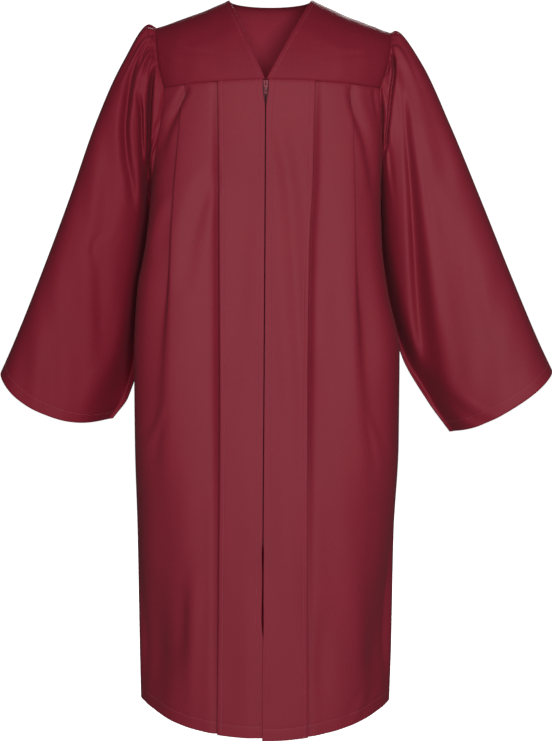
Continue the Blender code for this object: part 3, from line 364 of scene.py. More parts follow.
def clothPiece(name, grid, normals, closed=False, insideExtra=0.0, finish=None):
    # Closed shell of cloth round a grid of its middle, with rounded rims and a UV map in metres
    rows, columns = grid.shape[:2]
    half = cloth["thickness"] / 2
    outer = grid + normals * half
    inner = grid - normals * (half + np.broadcast_to(insideExtra, grid.shape[:2])[..., None])
    spans = columns + 1 if closed else columns

    # flat coordinates along rows and columns
    wrapped = np.concatenate([grid, grid[:, :1]], axis=1) if closed else grid
    u = np.concatenate([np.zeros((rows, 1)), np.cumsum(np.linalg.norm(np.diff(wrapped, axis=1), axis=2), axis=1)], 1)
    v = np.concatenate([np.zeros((1, spans)), np.cumsum(np.linalg.norm(np.diff(wrapped, axis=0), axis=2), axis=0)], 0)
    u = u - u[:, spans // 2:spans // 2 + 1]

    def ids(r, c):
        return r * columns + c % columns

    def uvIds(r, c):
        return r * spans + c

    r, c = np.meshgrid(np.arange(rows - 1), np.arange(spans - 1), indexing="ij")
    r, c = r.ravel(), c.ravel()
    corners = [(r, c), (r + 1, c), (r + 1, c + 1), (r, c + 1)]
    outside = np.stack([ids(*k) for k in corners], 1)
    uvFaces = np.stack([uvIds(*k) for k in corners], 1)
    layer = rows * columns
    faces = [outside, outside[:, ::-1] + layer]
    uvs = [uvFaces, uvFaces[:, ::-1]]

    # rims: a rounded line between the two layers, all the way round
    across = np.arange(spans)
    down = np.arange(rows)
    if closed:
        runs = [(np.zeros(spans, int), across), (np.full(spans, rows - 1), across[::-1])]
    else:
        ringR = np.concatenate([np.zeros(columns, int), down[1:], np.full(columns - 1, rows - 1), down[::-1][1:]])
        ringC = np.concatenate([across, np.full(rows - 1, columns - 1), across[::-1][1:], np.zeros(rows - 1, int)])
        runs = [(ringR, ringC)]
    points = [outer.reshape(-1, 3), inner.reshape(-1, 3)]
    count = 2 * layer
    for ringR, ringC in runs:
        at = ids(ringR, ringC)[:-1]
        insideC = ringC if closed else np.clip(ringC, 1, columns - 2)
        nearest = grid[np.clip(ringR, 1, rows - 2), insideC % columns][:-1]
        edge = grid[ringR, ringC % columns][:-1]
        away = unit(edge - nearest)
        middle = (outer.reshape(-1, 3)[at] + inner.reshape(-1, 3)[at]) / 2
        points.append(middle + away * cloth["thickness"] * cloth["rimRound"])
        rim = count + np.arange(len(at))
        following = np.roll(at, -1)
        rimNext = np.roll(rim, -1)
        uvAt = uvIds(ringR, ringC)
        uvRim = np.stack([uvAt[:-1], uvAt[1:], uvAt[1:], uvAt[:-1]], 1)
        faces += [np.stack([at, following, rimNext, rim], 1), np.stack([rim, rimNext, following + layer, at + layer], 1)]
        uvs += [uvRim, uvRim]
        count += len(at)

    points = np.concatenate(points)
    faces = np.concatenate(faces)
    uvs = np.concatenate(uvs)
    # the winding follows the normals that were given
    probe = outside[len(outside) // 2]
    turn = np.cross(points[probe[1]] - points[probe[0]], points[probe[3]] - points[probe[0]])
    if turn @ normals.reshape(-1, 3)[probe[0]] < 0:
        faces, uvs = faces[:, ::-1], uvs[:, ::-1]
    mesh = bpy.data.meshes.new(name)
    mesh.from_pydata(points.tolist(), [], faces.tolist())
    flat = np.stack([u.ravel(), v.ravel()], 1)[uvs.ravel()]
    mesh.uv_layers.new(name="cloth").data.foreach_set("uv", flat.astype(np.float32).ravel())
    mesh.shade_smooth()
    mesh.materials.append(finish)
    # the inside faces get the duller reverse, painted lighter as painted light
    mesh.materials.append(litTwillReverse)
    inside = np.zeros(len(faces), np.int32)
    inside[len(outside):2 * len(outside)] = 1
    mesh.polygons.foreach_set("material_index", inside)
    piece = bpy.data.objects.new(name, mesh)
    bpy.context.scene.collection.objects.link(piece)
    area = np.linalg.norm(np.cross(np.diff(wrapped[:-1], axis=1), np.diff(wrapped[:, :-1], axis=0)), axis=2).sum()
    girths = np.ptp(u, axis=1)
    print("gown: %s, %d faces, %.3f m2, %.3f m across the top, %.3f m at the bottom, %.3f m long"
          % (name, len(faces), area, girths[0], girths[-1], v[-1].max()))
    return piece, outer, normals


# materials


def nodeTree(name):
    material = bpy.data.materials.new(name)
    material.use_nodes = True
    tree = material.node_tree
    return material, tree, tree.nodes["Principled BSDF"]


def add(tree, kind, links=None, **settings):
    # A node with its properties set; links maps an input's name or number to a value or a socket
    made = tree.nodes.new(kind)
    for key, value in settings.items():
        setattr(made, key, value)
    for key, value in (links or {}).items():
        socket = made.inputs[key]
        if isinstance(value, bpy.types.NodeSocket):
            tree.links.new(value, socket)
        else:
            socket.default_value = value
    return made


twillLook = dict(
    colour=(0.222, 0.0105, 0.0260),
    roughness=0.67,
    shine=0.33,                 # specular level
    sheen=0.03,
    pitch=0.55 * mm,            # from one twill rib to the next
    ribStrength=0.30,
    slub=0.11,                  # how much the yarns differ in colour
    cloud=0.035,                # how much larger areas differ
)

# a darker, duller copy of the twill: painted shade for the yokes and the left sleeve, which face away from the light
shadedTwillLook = dict(colour=(0.204, 0.0100, 0.0245), shine=0.18)

# the reverse of the twill is duller, and its colour is painted lighter: painted light on the shaded inside faces, such
# as the inside back seen through the neck
litReverseLook = dict(colour=(0.300, 0.0240, 0.0450), roughness=0.75, shine=0.10)


def twillMaterial(name, look):
    material, tree, shader = nodeTree(name)
    uv = add(tree, "ShaderNodeUVMap", uv_map="cloth").outputs["UV"]
    # diagonal ribs and the finer yarns that cross them
    turns = 2 * math.pi / look["pitch"]
    ribPhase = add(tree, "ShaderNodeVectorMath", {0: uv, 1: (turns * 0.8, turns * 0.6, 0)}, operation="DOT_PRODUCT")
    yarnPhase = add(tree, "ShaderNodeVectorMath", {0: uv, 1: (turns * 1.3, -turns * 0.35, 0)}, operation="DOT_PRODUCT")
    rib = add(tree, "ShaderNodeMath", {0: ribPhase.outputs["Value"]}, operation="SINE")
    yarn = add(tree, "ShaderNodeMath", {0: yarnPhase.outputs["Value"]}, operation="SINE")
    weave = add(tree, "ShaderNodeMath", {0: yarn.outputs[0], 1: 0.5, 2: rib.outputs[0]}, operation="MULTIPLY_ADD")
    # slubs run along the yarns, clouds are broad
    stretched = add(tree, "ShaderNodeMapping", {"Vector": uv, "Scale": (900, 110, 1)})
    slub = add(tree, "ShaderNodeTexNoise", {"Vector": stretched.outputs[0], "Scale": 1.0, "Detail": 2.0})
    grain = add(tree, "ShaderNodeTexNoise", {"Vector": uv, "Scale": 270.0, "Detail": 3.0, "Roughness": 0.6})
    cloud = add(tree, "ShaderNodeTexNoise", {"Vector": uv, "Scale": 9.0, "Detail": 3.0, "Roughness": 0.5})
    both = add(tree, "ShaderNodeMix", {"Factor": 0.5, "A": slub.outputs["Fac"], "B": grain.outputs["Fac"]})
    light = add(tree, "ShaderNodeMapRange", {"Value": both.outputs["Result"], "From Min": 0.3, "From Max": 0.7,
                                             "To Min": 1 - look["slub"], "To Max": 1 + look["slub"]})
    broad = add(tree, "ShaderNodeMapRange", {"Value": cloud.outputs["Fac"], "From Min": 0.3, "From Max": 0.7,
                                             "To Min": 1 - look["cloud"], "To Max": 1 + look["cloud"]})
    shade = add(tree, "ShaderNodeMath", {0: light.outputs[0], 1: broad.outputs[0]}, operation="MULTIPLY")
    tint = add(tree, "ShaderNodeVectorMath", {0: look["colour"], "Scale": shade.outputs[0]}, operation="SCALE")
    tree.links.new(tint.outputs["Vector"], shader.inputs["Base Color"])
    rough = add(tree, "ShaderNodeMapRange", {"Value": grain.outputs["Fac"], "To Min": look["roughness"] - 0.06,
                                             "To Max": look["roughness"] + 0.06})
    tree.links.new(rough.outputs[0], shader.inputs["Roughness"])
    height = add(tree, "ShaderNodeMath", {0: grain.outputs["Fac"], 1: 1.5, 2: weave.outputs[0]}, operation="MULTIPLY_ADD")
    bump = add(tree, "ShaderNodeBump", {"Strength": look["ribStrength"], "Distance": 0.05 * mm,
                                        "Height": height.outputs[0]})
    tree.links.new(bump.outputs["Normal"], shader.inputs["Normal"])
    shader.inputs["Specular IOR Level"].default_value = look["shine"]
    shader.inputs["Sheen Weight"].default_value = look["sheen"]
    shader.inputs["Sheen Roughness"].default_value = 0.4
    shader.inputs["Sheen Tint"].default_value = (0.9, 0.62, 0.66, 1)
    return material


threadLook = dict(colour=(0.44, 0.12, 0.15), roughness=0.45, twist=0.35 * mm)


def threadMaterial(look):
    material, tree, shader = nodeTree("sewing thread")
    place = add(tree, "ShaderNodeTexCoord").outputs["Object"]
    turns = 2 * math.pi / look["twist"]
    phase = add(tree, "ShaderNodeVectorMath", {0: place, 1: (turns, turns * 0.4, turns)}, operation="DOT_PRODUCT")
    twist = add(tree, "ShaderNodeMath", {0: phase.outputs["Value"]}, operation="SINE")
    shade = add(tree, "ShaderNodeMapRange", {"Value": twist.outputs[0], "From Min": -1.0, "To Min": 0.8, "To Max": 1.15})
    tint = add(tree, "ShaderNodeVectorMath", {0: look["colour"], "Scale": shade.outputs[0]}, operation="SCALE")
    tree.links.new(tint.outputs["Vector"], shader.inputs["Base Color"])
    bump = add(tree, "ShaderNodeBump", {"Strength": 0.4, "Distance": 0.05 * mm, "Height": twist.outputs[0]})
    tree.links.new(bump.outputs["Normal"], shader.inputs["Normal"])
    shader.inputs["Roughness"].default_value = look["roughness"]
    shader.inputs["Sheen Weight"].default_value = 0.2
    return material


tapeLook = dict(colour=(0.075, 0.008, 0.015), roughness=0.7, rib=0.9 * mm)


def tapeMaterial(look):
    material, tree, shader = nodeTree("woven zip tape")
    place = add(tree, "ShaderNodeTexCoord").outputs["Object"]
    turns = 2 * math.pi / look["rib"]
    lengthways = add(tree, "ShaderNodeVectorMath", {0: place, 1: (turns, 0, turns * 0.35)}, operation="DOT_PRODUCT")
    crossways = add(tree, "ShaderNodeVectorMath", {0: place, 1: (-turns * 0.3, 0, turns * 1.6)}, operation="DOT_PRODUCT")
    one = add(tree, "ShaderNodeMath", {0: lengthways.outputs["Value"]}, operation="SINE")
    two = add(tree, "ShaderNodeMath", {0: crossways.outputs["Value"]}, operation="SINE")
    weave = add(tree, "ShaderNodeMath", {0: one.outputs[0], 1: two.outputs[0]}, operation="ADD")
    shade = add(tree, "ShaderNodeMapRange", {"Value": weave.outputs[0], "From Min": -2.0, "From Max": 2.0,
                                             "To Min": 0.75, "To Max": 1.25})
    tint = add(tree, "ShaderNodeVectorMath", {0: look["colour"], "Scale": shade.outputs[0]}, operation="SCALE")
    tree.links.new(tint.outputs["Vector"], shader.inputs["Base Color"])
    bump = add(tree, "ShaderNodeBump", {"Strength": 0.5, "Distance": 0.1 * mm, "Height": weave.outputs[0]})
    tree.links.new(bump.outputs["Normal"], shader.inputs["Normal"])
    shader.inputs["Roughness"].default_value = look["roughness"]
    return material


toothLook = dict(colour=(0.045, 0.006, 0.011), roughness=0.38)


def toothMaterial(look):
    material, tree, shader = nodeTree("moulded zip teeth")
    place = add(tree, "ShaderNodeTexCoord").outputs["Object"]
    grain = add(tree, "ShaderNodeTexNoise", {"Vector": place, "Scale": 900.0, "Detail": 2.0})
    shade = add(tree, "ShaderNodeMapRange", {"Value": grain.outputs["Fac"], "To Min": 0.8, "To Max": 1.2})
    tint = add(tree, "ShaderNodeVectorMath", {0: look["colour"], "Scale": shade.outputs[0]}, operation="SCALE")
    tree.links.new(tint.outputs["Vector"], shader.inputs["Base Color"])
    shader.inputs["Roughness"].default_value = look["roughness"]
    return material


metalLook = dict(colour=(0.060, 0.010, 0.015), worn=(0.13, 0.04, 0.05), roughness=0.42)


def metalMaterial(look):
    material, tree, shader = nodeTree("tinted zip metal")
    place = add(tree, "ShaderNodeTexCoord").outputs["Object"]
    coarse = add(tree, "ShaderNodeTexNoise", {"Vector": place, "Scale": 450.0, "Detail": 4.0, "Roughness": 0.6})
    fine = add(tree, "ShaderNodeTexNoise", {"Vector": place, "Scale": 2600.0, "Detail": 2.0})
    wear = add(tree, "ShaderNodeMapRange", {"Value": coarse.outputs["Fac"], "From Min": 0.52, "From Max": 0.68})
    tint = add(tree, "ShaderNodeMix", {"Factor": wear.outputs[0], 6: (*look["colour"], 1), 7: (*look["worn"], 1)},
               data_type="RGBA")
    tree.links.new(tint.outputs[2], shader.inputs["Base Color"])
    rough = add(tree, "ShaderNodeMapRange", {"Value": coarse.outputs["Fac"], "To Min": look["roughness"] - 0.08,
                                             "To Max": look["roughness"] + 0.12})
    tree.links.new(rough.outputs[0], shader.inputs["Roughness"])
    bump = add(tree, "ShaderNodeBump", {"Strength": 0.12, "Distance": 0.03 * mm, "Height": fine.outputs["Fac"]})
    tree.links.new(bump.outputs["Normal"], shader.inputs["Normal"])
    shader.inputs["Metallic"].default_value = 0.9
    return material


twill = twillMaterial("maroon twill", twillLook)
# the twill copy with painted shade, for the yokes and the left sleeve
shadedTwill = twillMaterial("maroon twill with painted shade", {**twillLook, **shadedTwillLook})
# the reverse, painted lighter as painted light on the inside faces
litTwillReverse = twillMaterial("maroon twill reverse with painted light", {**twillLook, **litReverseLook})
thread = threadMaterial(threadLook)
tapeWeave = tapeMaterial(tapeLook)
teeth = toothMaterial(toothLook)
metal = metalMaterial(metalLook)
print("gown: materials made")

# front panels: a stitched knife pleat and a soft one each

front = dict(
    bendSteps=7,                # round the folds
    underSteps=4,
    levels=250,
    edgeColumns=24,
    betweenColumns=24,
    betweenSpread=1.7,          # closer together beside the first fold
    outerColumns=15,
    zipStitch=9.5 * mm,         # topstitching from the zip's edge
    pleatStitch=6.0 * mm,       # and from the pleat's fold
    groove=0.6 * mm,
    settleAt=0.30,
    leadShare=3.0,
    # fold: its distance from the middle, depth of cloth under it, how far it is turned, length of each bend;
    # tuck: how far the cloth beside the first fold is drawn in under it, lift: how far the second one stands out
    firstPleat={
        -1: table("drop fold depth turn bend tuck",
                  (0.145, 0.0885, 0.024, 180, 0.0030, 0.0034), (0.230, 0.0870, 0.024, 180, 0.0042, 0.0066),
                  (0.310, 0.0860, 0.024, 180, 0.0046, 0.0094), (0.680, 0.0847, 0.024, 180, 0.0046, 0.0108),
                  (1.000, 0.0875, 0.024, 180, 0.0042, 0.0092), (1.260, 0.0907, 0.024, 180, 0.0034, 0.0046)),
        1: table("drop fold depth turn bend tuck",
                 (0.145, 0.0759, 0.024, 180, 0.0030, 0.0034), (0.230, 0.0735, 0.024, 180, 0.0044, 0.0070),
                 (0.310, 0.0717, 0.024, 180, 0.0046, 0.0086), (0.430, 0.0655, 0.024, 180, 0.0046, 0.0092),
                 (0.680, 0.0627, 0.024, 180, 0.0044, 0.0080), (0.930, 0.0630, 0.024, 180, 0.0036, 0.0056),
                 (1.260, 0.0641, 0.024, 180, 0.0030, 0.0030)),
    },
    secondPleat={
        -1: table("drop fold depth turn bend lift",
                  (0.145, 0.1461, 0.020, 180, 0.00255, 0.000), (0.240, 0.1530, 0.012, 165, 0.0036, 0.0050),
                  (0.408, 0.1640, 0.003, 105, 0.0060, 0.0080), (0.603, 0.1700, 0.002, 38, 0.013, 0.0080),
                  (0.800, 0.1740, 0.002, 12, 0.016, 0.0030), (1.260, 0.1760, 0.002, 4, 0.016, 0.000)),
        1: table("drop fold depth turn bend lift",
                 (0.145, 0.1368, 0.020, 180, 0.00255, 0.000), (0.240, 0.1385, 0.012, 165, 0.0036, 0.0050),
                 (0.408, 0.1409, 0.003, 105, 0.0060, 0.0070), (0.603, 0.1427, 0.002, 38, 0.013, 0.0070),
                 (0.800, 0.1540, 0.002, 12, 0.016, 0.0040), (1.260, 0.1560, 0.002, 4, 0.016, 0.000)),
    },
    # x is the distance from the middle plane
    creases={
        -1: [
            crease((0.159, 0.1443, 10.2, 5.8, 5.8), (0.18, 0.1548, 10.2, 6.3, 6.3),
                   (0.198, 0.1645, 8.5, 6.9, 7.4), (0.222, 0.175, 6, 7.9, 7.9),
                   (0.249, 0.1828, 3.4, 7.9, 10.5), (0.283, 0.1878, 0, 7.9, 10.5)),
            crease((0.329, 0.1715, 0, 10.6, 10.6), (0.363, 0.1852, -3.1, 10.6, 10.6),
                   (0.414, 0.2011, -2.1, 10.6, 10.6), (0.456, 0.2098, 0, 10.6, 10.6)),
            crease((0.285, 0.0937, 0, 10.5, 13.2), (0.338, 0.1113, 4.8, 13.2, 15.8),
                   (0.38, 0.1247, 4.8, 13.2, 15.8), (0.422, 0.1331, 4.3, 13.2, 15.8),
                   (0.464, 0.1382, 3.4, 13.2, 15.8), (0.516, 0.1432, 0, 13.2, 15.8)),
            crease((0.94, 0.1469, 0, 13.2, 31.7), (0.994, 0.1519, 4.2, 13.2, 34.2),
                   (1.038, 0.155, 8.4, 13.2, 36.9), (1.091, 0.1606, 9.5, 15.8, 36.9),
                   (1.137, 0.1733, 8.4, 21.1, 36.9), (1.183, 0.1861, 6.3, 26.4, 36.9),
                   (1.228, 0.1954, 3.2, 26.4, 36.9), (1.281, 0.1934, 1.1, 26.4, 36.9)),
            crease((0.982, 0.1281, 0, 10.5, 10.5), (1.051, 0.1326, -2.5, 10.5, 10.5),
                   (1.121, 0.1355, -3, 10.5, 10.5), (1.207, 0.1374, -2.5, 10.5, 10.5),
                   (1.276, 0.1375, -1.5, 10.5, 10.5)),
            crease((0.684, 0.1796, 0, 6.9, 6.9), (0.718, 0.1887, -2.2, 6.9, 6.9),
                   (0.745, 0.1998, -2.4, 6.9, 9.1), (0.772, 0.211, -1.4, 9.1, 11.4),
                   (0.817, 0.2173, 0, 9.1, 11.4)),
            crease((0.78, 0.2022, 0, 15.8, 15.8), (0.85, 0.2064, -1.6, 15.8, 15.8),
                   (0.973, 0.2079, -1.6, 15.8, 15.8), (1.063, 0.209, 0, 15.8, 15.8)),
            crease((0.965, 0.2061, 0, 26.4, 31.7), (1.044, 0.2069, 7.8, 26.4, 31.7),
                   (1.135, 0.2116, 14.3, 26.4, 31.7), (1.215, 0.2122, 11.7, 26.4, 31.7),
                   (1.275, 0.2079, 3.9, 26.4, 31.7)),
        ],
        1: [
            crease((0.197, 0.0097, 0, 12.1, 12.1), (0.247, 0.0181, 2.8, 12.1, 14.1),
                   (0.297, 0.0281, 3.6, 12.1, 14.1), (0.372, 0.0374, 3.6, 14.1, 14.1),
                   (0.456, 0.0416, 3.6, 14.1, 14.1), (0.557, 0.0467, 3.2, 14.1, 12.1),
                   (0.657, 0.0526, 2.8, 14.1, 10.1), (0.759, 0.0552, 2, 14.1, 8),
                   (0.843, 0.0552, 0, 14.1, 8)),
            crease((0.173, 0.1362, 6.5, 4.9, 9.8), (0.192, 0.1411, 7.3, 4.9, 9.8),
                   (0.216, 0.1519, 6.2, 7.4, 9.8), (0.253, 0.1641, 4.7, 7.4, 9.8),
                   (0.304, 0.1729, 3.1, 7.4, 7.4), (0.346, 0.1755, 0, 7.4, 7.4)),
            crease((0.165, 0.1771, 3.6, 3.1, 3.1), (0.181, 0.1799, 3.6, 3.1, 3.1),
                   (0.205, 0.1817, 0, 3.1, 3.1)),
            crease((0.701, 0.1636, 0, 6.2, 6.2), (0.736, 0.1743, -1.4, 6.2, 6.2),
                   (0.774, 0.1834, -1.2, 6.2, 7.4), (0.823, 0.1892, 0, 6.2, 7.4)),
            crease((0.447, 0.0886, 0, 14.1, 14.1), (0.506, 0.0904, 1.6, 14.1, 14.1),
                   (0.573, 0.0904, 1.6, 14.1, 14.1), (0.624, 0.0904, 0, 14.1, 14.1)),
            crease((1.178, 0.1561, 0, 6.9, 6.9), (1.207, 0.1439, 3, 6.9, 6.9),
                   (1.233, 0.1334, 3.6, 6.9, 6.9), (1.25, 0.1263, 1.8, 6.9, 6.9)),
            crease((1.179, 0.1854, 0, 6.9, 6.9), (1.204, 0.1745, 3, 6.9, 6.9),
                   (1.226, 0.1636, 3.6, 6.9, 6.9), (1.244, 0.1545, 1.8, 6.9, 6.9)),
            crease((0.889, 0.2072, 0, 23.7, 26.4), (0.978, 0.2064, 5.8, 26.4, 31.7),
                   (1.048, 0.2031, 12.6, 29, 36.9), (1.135, 0.198, 16.1, 29, 36.9),
                   (1.205, 0.1928, 10.3, 26.4, 36.9), (1.268, 0.188, 3.4, 26.4, 36.9)),
            crease((1.033, 0.0947, 0, 14.7, 14.7), (1.102, 0.088, 2.6, 14.7, 14.7),
                   (1.188, 0.0881, 3.5, 17.2, 17.2), (1.265, 0.0882, 1.6, 17.2, 17.2)),
        ],
    },
)


def pleatPath(rows, drop):
    # Places along the folded cloth, outward from the middle and inward from its face
    steps = front["bendSteps"]
    under = front["underSteps"]
    turn = np.radians(read(rows, "turn", drop))
    step = read(rows, "bend", drop) / steps
    run = read(rows, "depth", drop) / under
    bends = [(step, (i + 0.5) / steps * turn) for i in range(steps)]
    path = bends + [(run, turn)] * under + bends[::-1]
    along = [np.zeros_like(drop)]
    inward = [np.zeros_like(drop)]
    for length, direction in path:
        along.append(along[-1] + length * np.cos(direction))
        inward.append(inward[-1] + length * np.sin(direction))
    lead = read(rows, "bend", drop) / front["leadShare"]
    start = read(rows, "fold", drop) - np.minimum(np.max(along, axis=0), lead)
    return [start + a for a in along], inward


def frontShares():
    # Columns between the zip's edge and the first fold, closer together at the two stitch lines
    width = 0.078
    closer = [0, 0.6 * mm, 1.4 * mm]
    for line in (front["zipStitch"], width - front["pleatStitch"]):
        closer += [line - 1.4 * mm, line - 0.6 * mm, line, line + 0.6 * mm, line + 1.4 * mm]
    evenly = [s for s in np.linspace(0, width, front["edgeColumns"])[:-1]
              if min(abs(s - k) for k in closer) > 1.2 * mm]
    return sorted(evenly + closer)


def frontPanel(side):
    settings = front
    edge = frontShares()
    nominal = 0.078
    pleatPoints = 2 * settings["bendSteps"] + settings["underSteps"] + 1
    armhole = yoke["armholeColumns"]
    outerParts = settings["outerColumns"]
    groups = [("edge", d) for d in edge] + [("first", i) for i in range(pleatPoints)]
    between = settings["betweenColumns"]
    groups += [("between", ((i + 1) / (between + 1)) ** settings["betweenSpread"]) for i in range(between)]
    groups += [("second", i) for i in range(pleatPoints)]
    groups += [("outer", 3 * (i + 1) / (outerParts + 1)) for i in range(outerParts)]
    groups += [("armhole", 3 + 6 * i / armhole) for i in range(armhole + 1)]
    end = math.pi / 2 - yoke["sideSeamHalfGap"]

    def place(group, value, drop, level):
        firstX, firstIn = pleatPath(settings["firstPleat"][side], drop)
        secondX, secondIn = pleatPath(settings["secondPleat"][side], drop)
        if group == "edge":
            start = zipEdgeX(side, drop) * side
            room = firstX[0] - start
            fromFold = nominal - value
            near = smooth(value / nominal * 2 - 0.5)
            x = mix(start + value, firstX[0] - fromFold, near) if room.ndim else start
            return angleAtX(side * x, drop), np.zeros_like(drop)
        if group == "first":
            return angleAtX(side * firstX[value], drop), firstIn[value]
        lift = read(settings["secondPleat"][side], "lift", drop)
        if group == "between":
            x = mix(firstX[-1], secondX[0], value)
            beside = np.maximum(x - np.max(firstX, axis=0), 0)
            tuck = read(settings["firstPleat"][side], "tuck", drop) * bell(beside - 1.5 * mm, 7 * mm)
            return angleAtX(side * x, drop), firstIn[-1] * (1 - value) + tuck - lift * smooth(value * 1.1 - 0.1)
        if group == "second":
            return angleAtX(side * secondX[value], drop), secondIn[value] - lift
        last = np.abs(angleAtX(side * secondX[-1], drop))
        corner = abs(armholeCorner(side)[1])
        if value < 3:
            top = mix(last, corner, value / 3)
        else:
            top = np.minimum(np.abs(armholePlace(side, (value - 3) / 6)[0]), end)
        low = mix(last, end, value / 9)
        angle = side * mix(top, low, smooth(level / settings["settleAt"]))
        return angle, (secondIn[-1] - lift) * (1 - smooth(value / 3.5))

    levels = np.linspace(0, 1, settings["levels"])
    hemLine = 1 - cloth["hemHeight"] / 1.11
    extra = [0.0012, 0.0026, hemLine - 0.0012, hemLine - 0.0005, hemLine, hemLine + 0.0005, hemLine + 0.0012, 0.9985]
    levels = np.unique(np.concatenate([[k for k in levels if min(abs(k - e) for e in extra) > 0.0009], extra]))
    seam = np.array([yoke["seamDrop"]])
    lowest = np.array([body["hemFront"][side]])
    columns = []
    for group, value in groups:
        angle, inward = place(group, value, seam, np.zeros(1))
        if group == "armhole":
            top = float(armholePlace(side, (value - 3) / 6)[1]) + (cloth["seamGap"] if value == 3 else 0)
        else:
            top = float(seamDropAt(bodyPoint(angle, seam, inward)[0, 0])) + cloth["seamGap"]
        angle, inward = place(group, value, lowest, np.ones(1))
        hem = float(hemDropAt(bodyPoint(angle, lowest, inward)[0, 0], body["hemFront"][side]))
        drop = mix(top, hem, levels)
        angle, inward = place(group, value, drop, levels)
        x = bodyPoint(angle, drop)[:, 0] * side
        columns.append((angle, drop, inward, x, np.full_like(drop, top), np.full_like(drop, hem)))
    angle, drop, inward, x, top, hem = (np.stack(part, axis=1) for part in zip(*columns))

    # relief: creases and a little unevenness, none where the panel is sewn to its neighbours
    armholeStart = len(groups) - armhole - 1
    columnIndex = np.arange(len(groups))[None, :]
    sideAngle = math.pi / 2 - np.abs(angle)
    toSide = smooth(sideAngle / 0.25)
    toTop = smooth((drop - top) / 0.05)
    relief = -creaseField(settings["creases"][side], x, drop) * toSide
    relief += 0.9 * mm * unevenness(31 + side, x, drop, 0.16, 0.045) * smooth((drop - 0.15) / 0.25)
    relief *= np.where(columnIndex >= armholeStart, toTop, smooth((drop - top) / 0.02 + 0.3)) * toSide
    relief *= mix(0.25, 1.0, smooth((hem - drop - 0.01) / 0.12))
    for index in (edge.index(front["zipStitch"]), edge.index(nominal - front["pleatStitch"])):
        relief[:, index] -= settings["groove"]
    roll = cloth["seamRoll"] * (1 - smooth((drop - top) / cloth["seamRollWidth"]))
    relief -= np.where(columnIndex >= armholeStart, 0, roll)
    fromHem = hem - drop
    relief -= 0.3 * mm * bell(fromHem - cloth["hemHeight"], 0.8 * mm)
    if side < 0:      # below the stop the left edge hangs behind the right one
        nearZip = np.clip(1 - (x - np.abs(zipX(drop))) / 0.03, 0, 1)
        relief -= zipLine["lapBack"] * smooth((drop - zipLine["stop"]) / 0.1) * smooth(nearZip)
    grid = bodyPoint(angle, drop, inward - relief)
    normals = gridNormals(grid)
    if normals[len(levels) // 2, 3] @ np.array([0, -1, 0]) < 0:
        normals = -normals
    normals[0, armholeStart:] = seamNormals(grid[0, armholeStart:], normals[0, armholeStart:], side)
    hemExtra = cloth["hemLayer"] * smooth((cloth["hemHeight"] - fromHem) / (1.0 * mm) + 0.5)
    name = "frontPanelLeft" if side < 0 else "frontPanelRight"
    piece, outer, normals = clothPiece(name, grid, normals, insideExtra=hemExtra, finish=twill)
    rows = np.arange(len(levels))
    hemRow = int(np.argmin(np.abs(levels - hemLine)))
    lines = dict(
        zipStitch=(outer[rows, edge.index(front["zipStitch"])], normals[rows, edge.index(front["zipStitch"])]),
        pleatStitch=(outer[rows, edge.index(nominal - front["pleatStitch"])],
                     normals[rows, edge.index(nominal - front["pleatStitch"])]),
        hemStitch=(outer[hemRow], normals[hemRow]),
    )
    return piece, lines


# back panel: gathered under the yoke

back = dict(
    columns=180,
    levels=190,
    fineGathers=13,
    broadFolds=7,
    settleAt=0.30,
    gathers=table("level fine broad",
                  (0.0, 0.0008, 0.0), (0.02, 0.0030, 0.001), (0.055, 0.0032, 0.003), (0.11, 0.0018, 0.005),
                  (0.20, 0.0, 0.0075), (0.60, 0.0, 0.0090), (1.0, 0.0, 0.0100)),
    puckers=41,                 # small ones, right under the seam
    puckerDepth=0.7 * mm,
    creases=[
        crease((0.15, -0.12, 1.5, 10, 10), (0.236, -0.1166, 3, 10, 10), (0.343, -0.1165, 2.9, 10, 10),
               (0.471, -0.1196, 1.4, 10, 10), (0.62, -0.126, 0, 10, 10)),
        crease((0.15, -0.06, 1, 11, 11), (0.292, -0.0645, 2.6, 11, 11), (0.448, -0.066, 2.5, 11, 11),
               (0.617, -0.0645, 1.2, 11, 11), (0.8, -0.06, 0, 11, 11)),
        crease((0.15, 0.018, 1.6, 9, 9), (0.259, 0.0206, 3.2, 9, 9), (0.387, 0.0205, 3.1, 9, 9),
               (0.534, 0.0176, 1.4, 9, 9), (0.7, 0.012, 0, 9, 9)),
        crease((0.15, 0.074, 1, 10, 10), (0.232, 0.0714, 2.4, 10, 10), (0.328, 0.0715, 2.3, 10, 10),
               (0.437, 0.0744, 1.1, 10, 10), (0.56, 0.08, 0, 10, 10)),
        crease((0.15, 0.132, 1.5, 11, 11), (0.267, 0.1288, 3, 11, 11), (0.407, 0.129, 2.9, 11, 11),
               (0.572, 0.1328, 1.4, 11, 11), (0.76, 0.14, 0, 11, 11)),
        crease((0.6, -0.15, 0, 16, 16), (0.756, -0.1537, 4, 16, 16), (0.925, -0.155, 3.9, 16, 16),
               (1.106, -0.1537, 1.8, 16, 16), (1.3, -0.15, 0, 16, 16)),
        crease((0.64, -0.02, 0, 18, 18), (0.801, -0.0238, 3, 18, 18), (0.965, -0.025, 2.9, 18, 18),
               (1.131, -0.0238, 1.4, 18, 18), (1.3, -0.02, 0, 18, 18)),
        crease((0.62, 0.1, 0, 17, 17), (0.768, 0.1045, 4, 17, 17), (0.93, 0.106, 3.9, 17, 17),
               (1.108, 0.1045, 1.8, 17, 17), (1.3, 0.1, 0, 17, 17)),
    ],
)


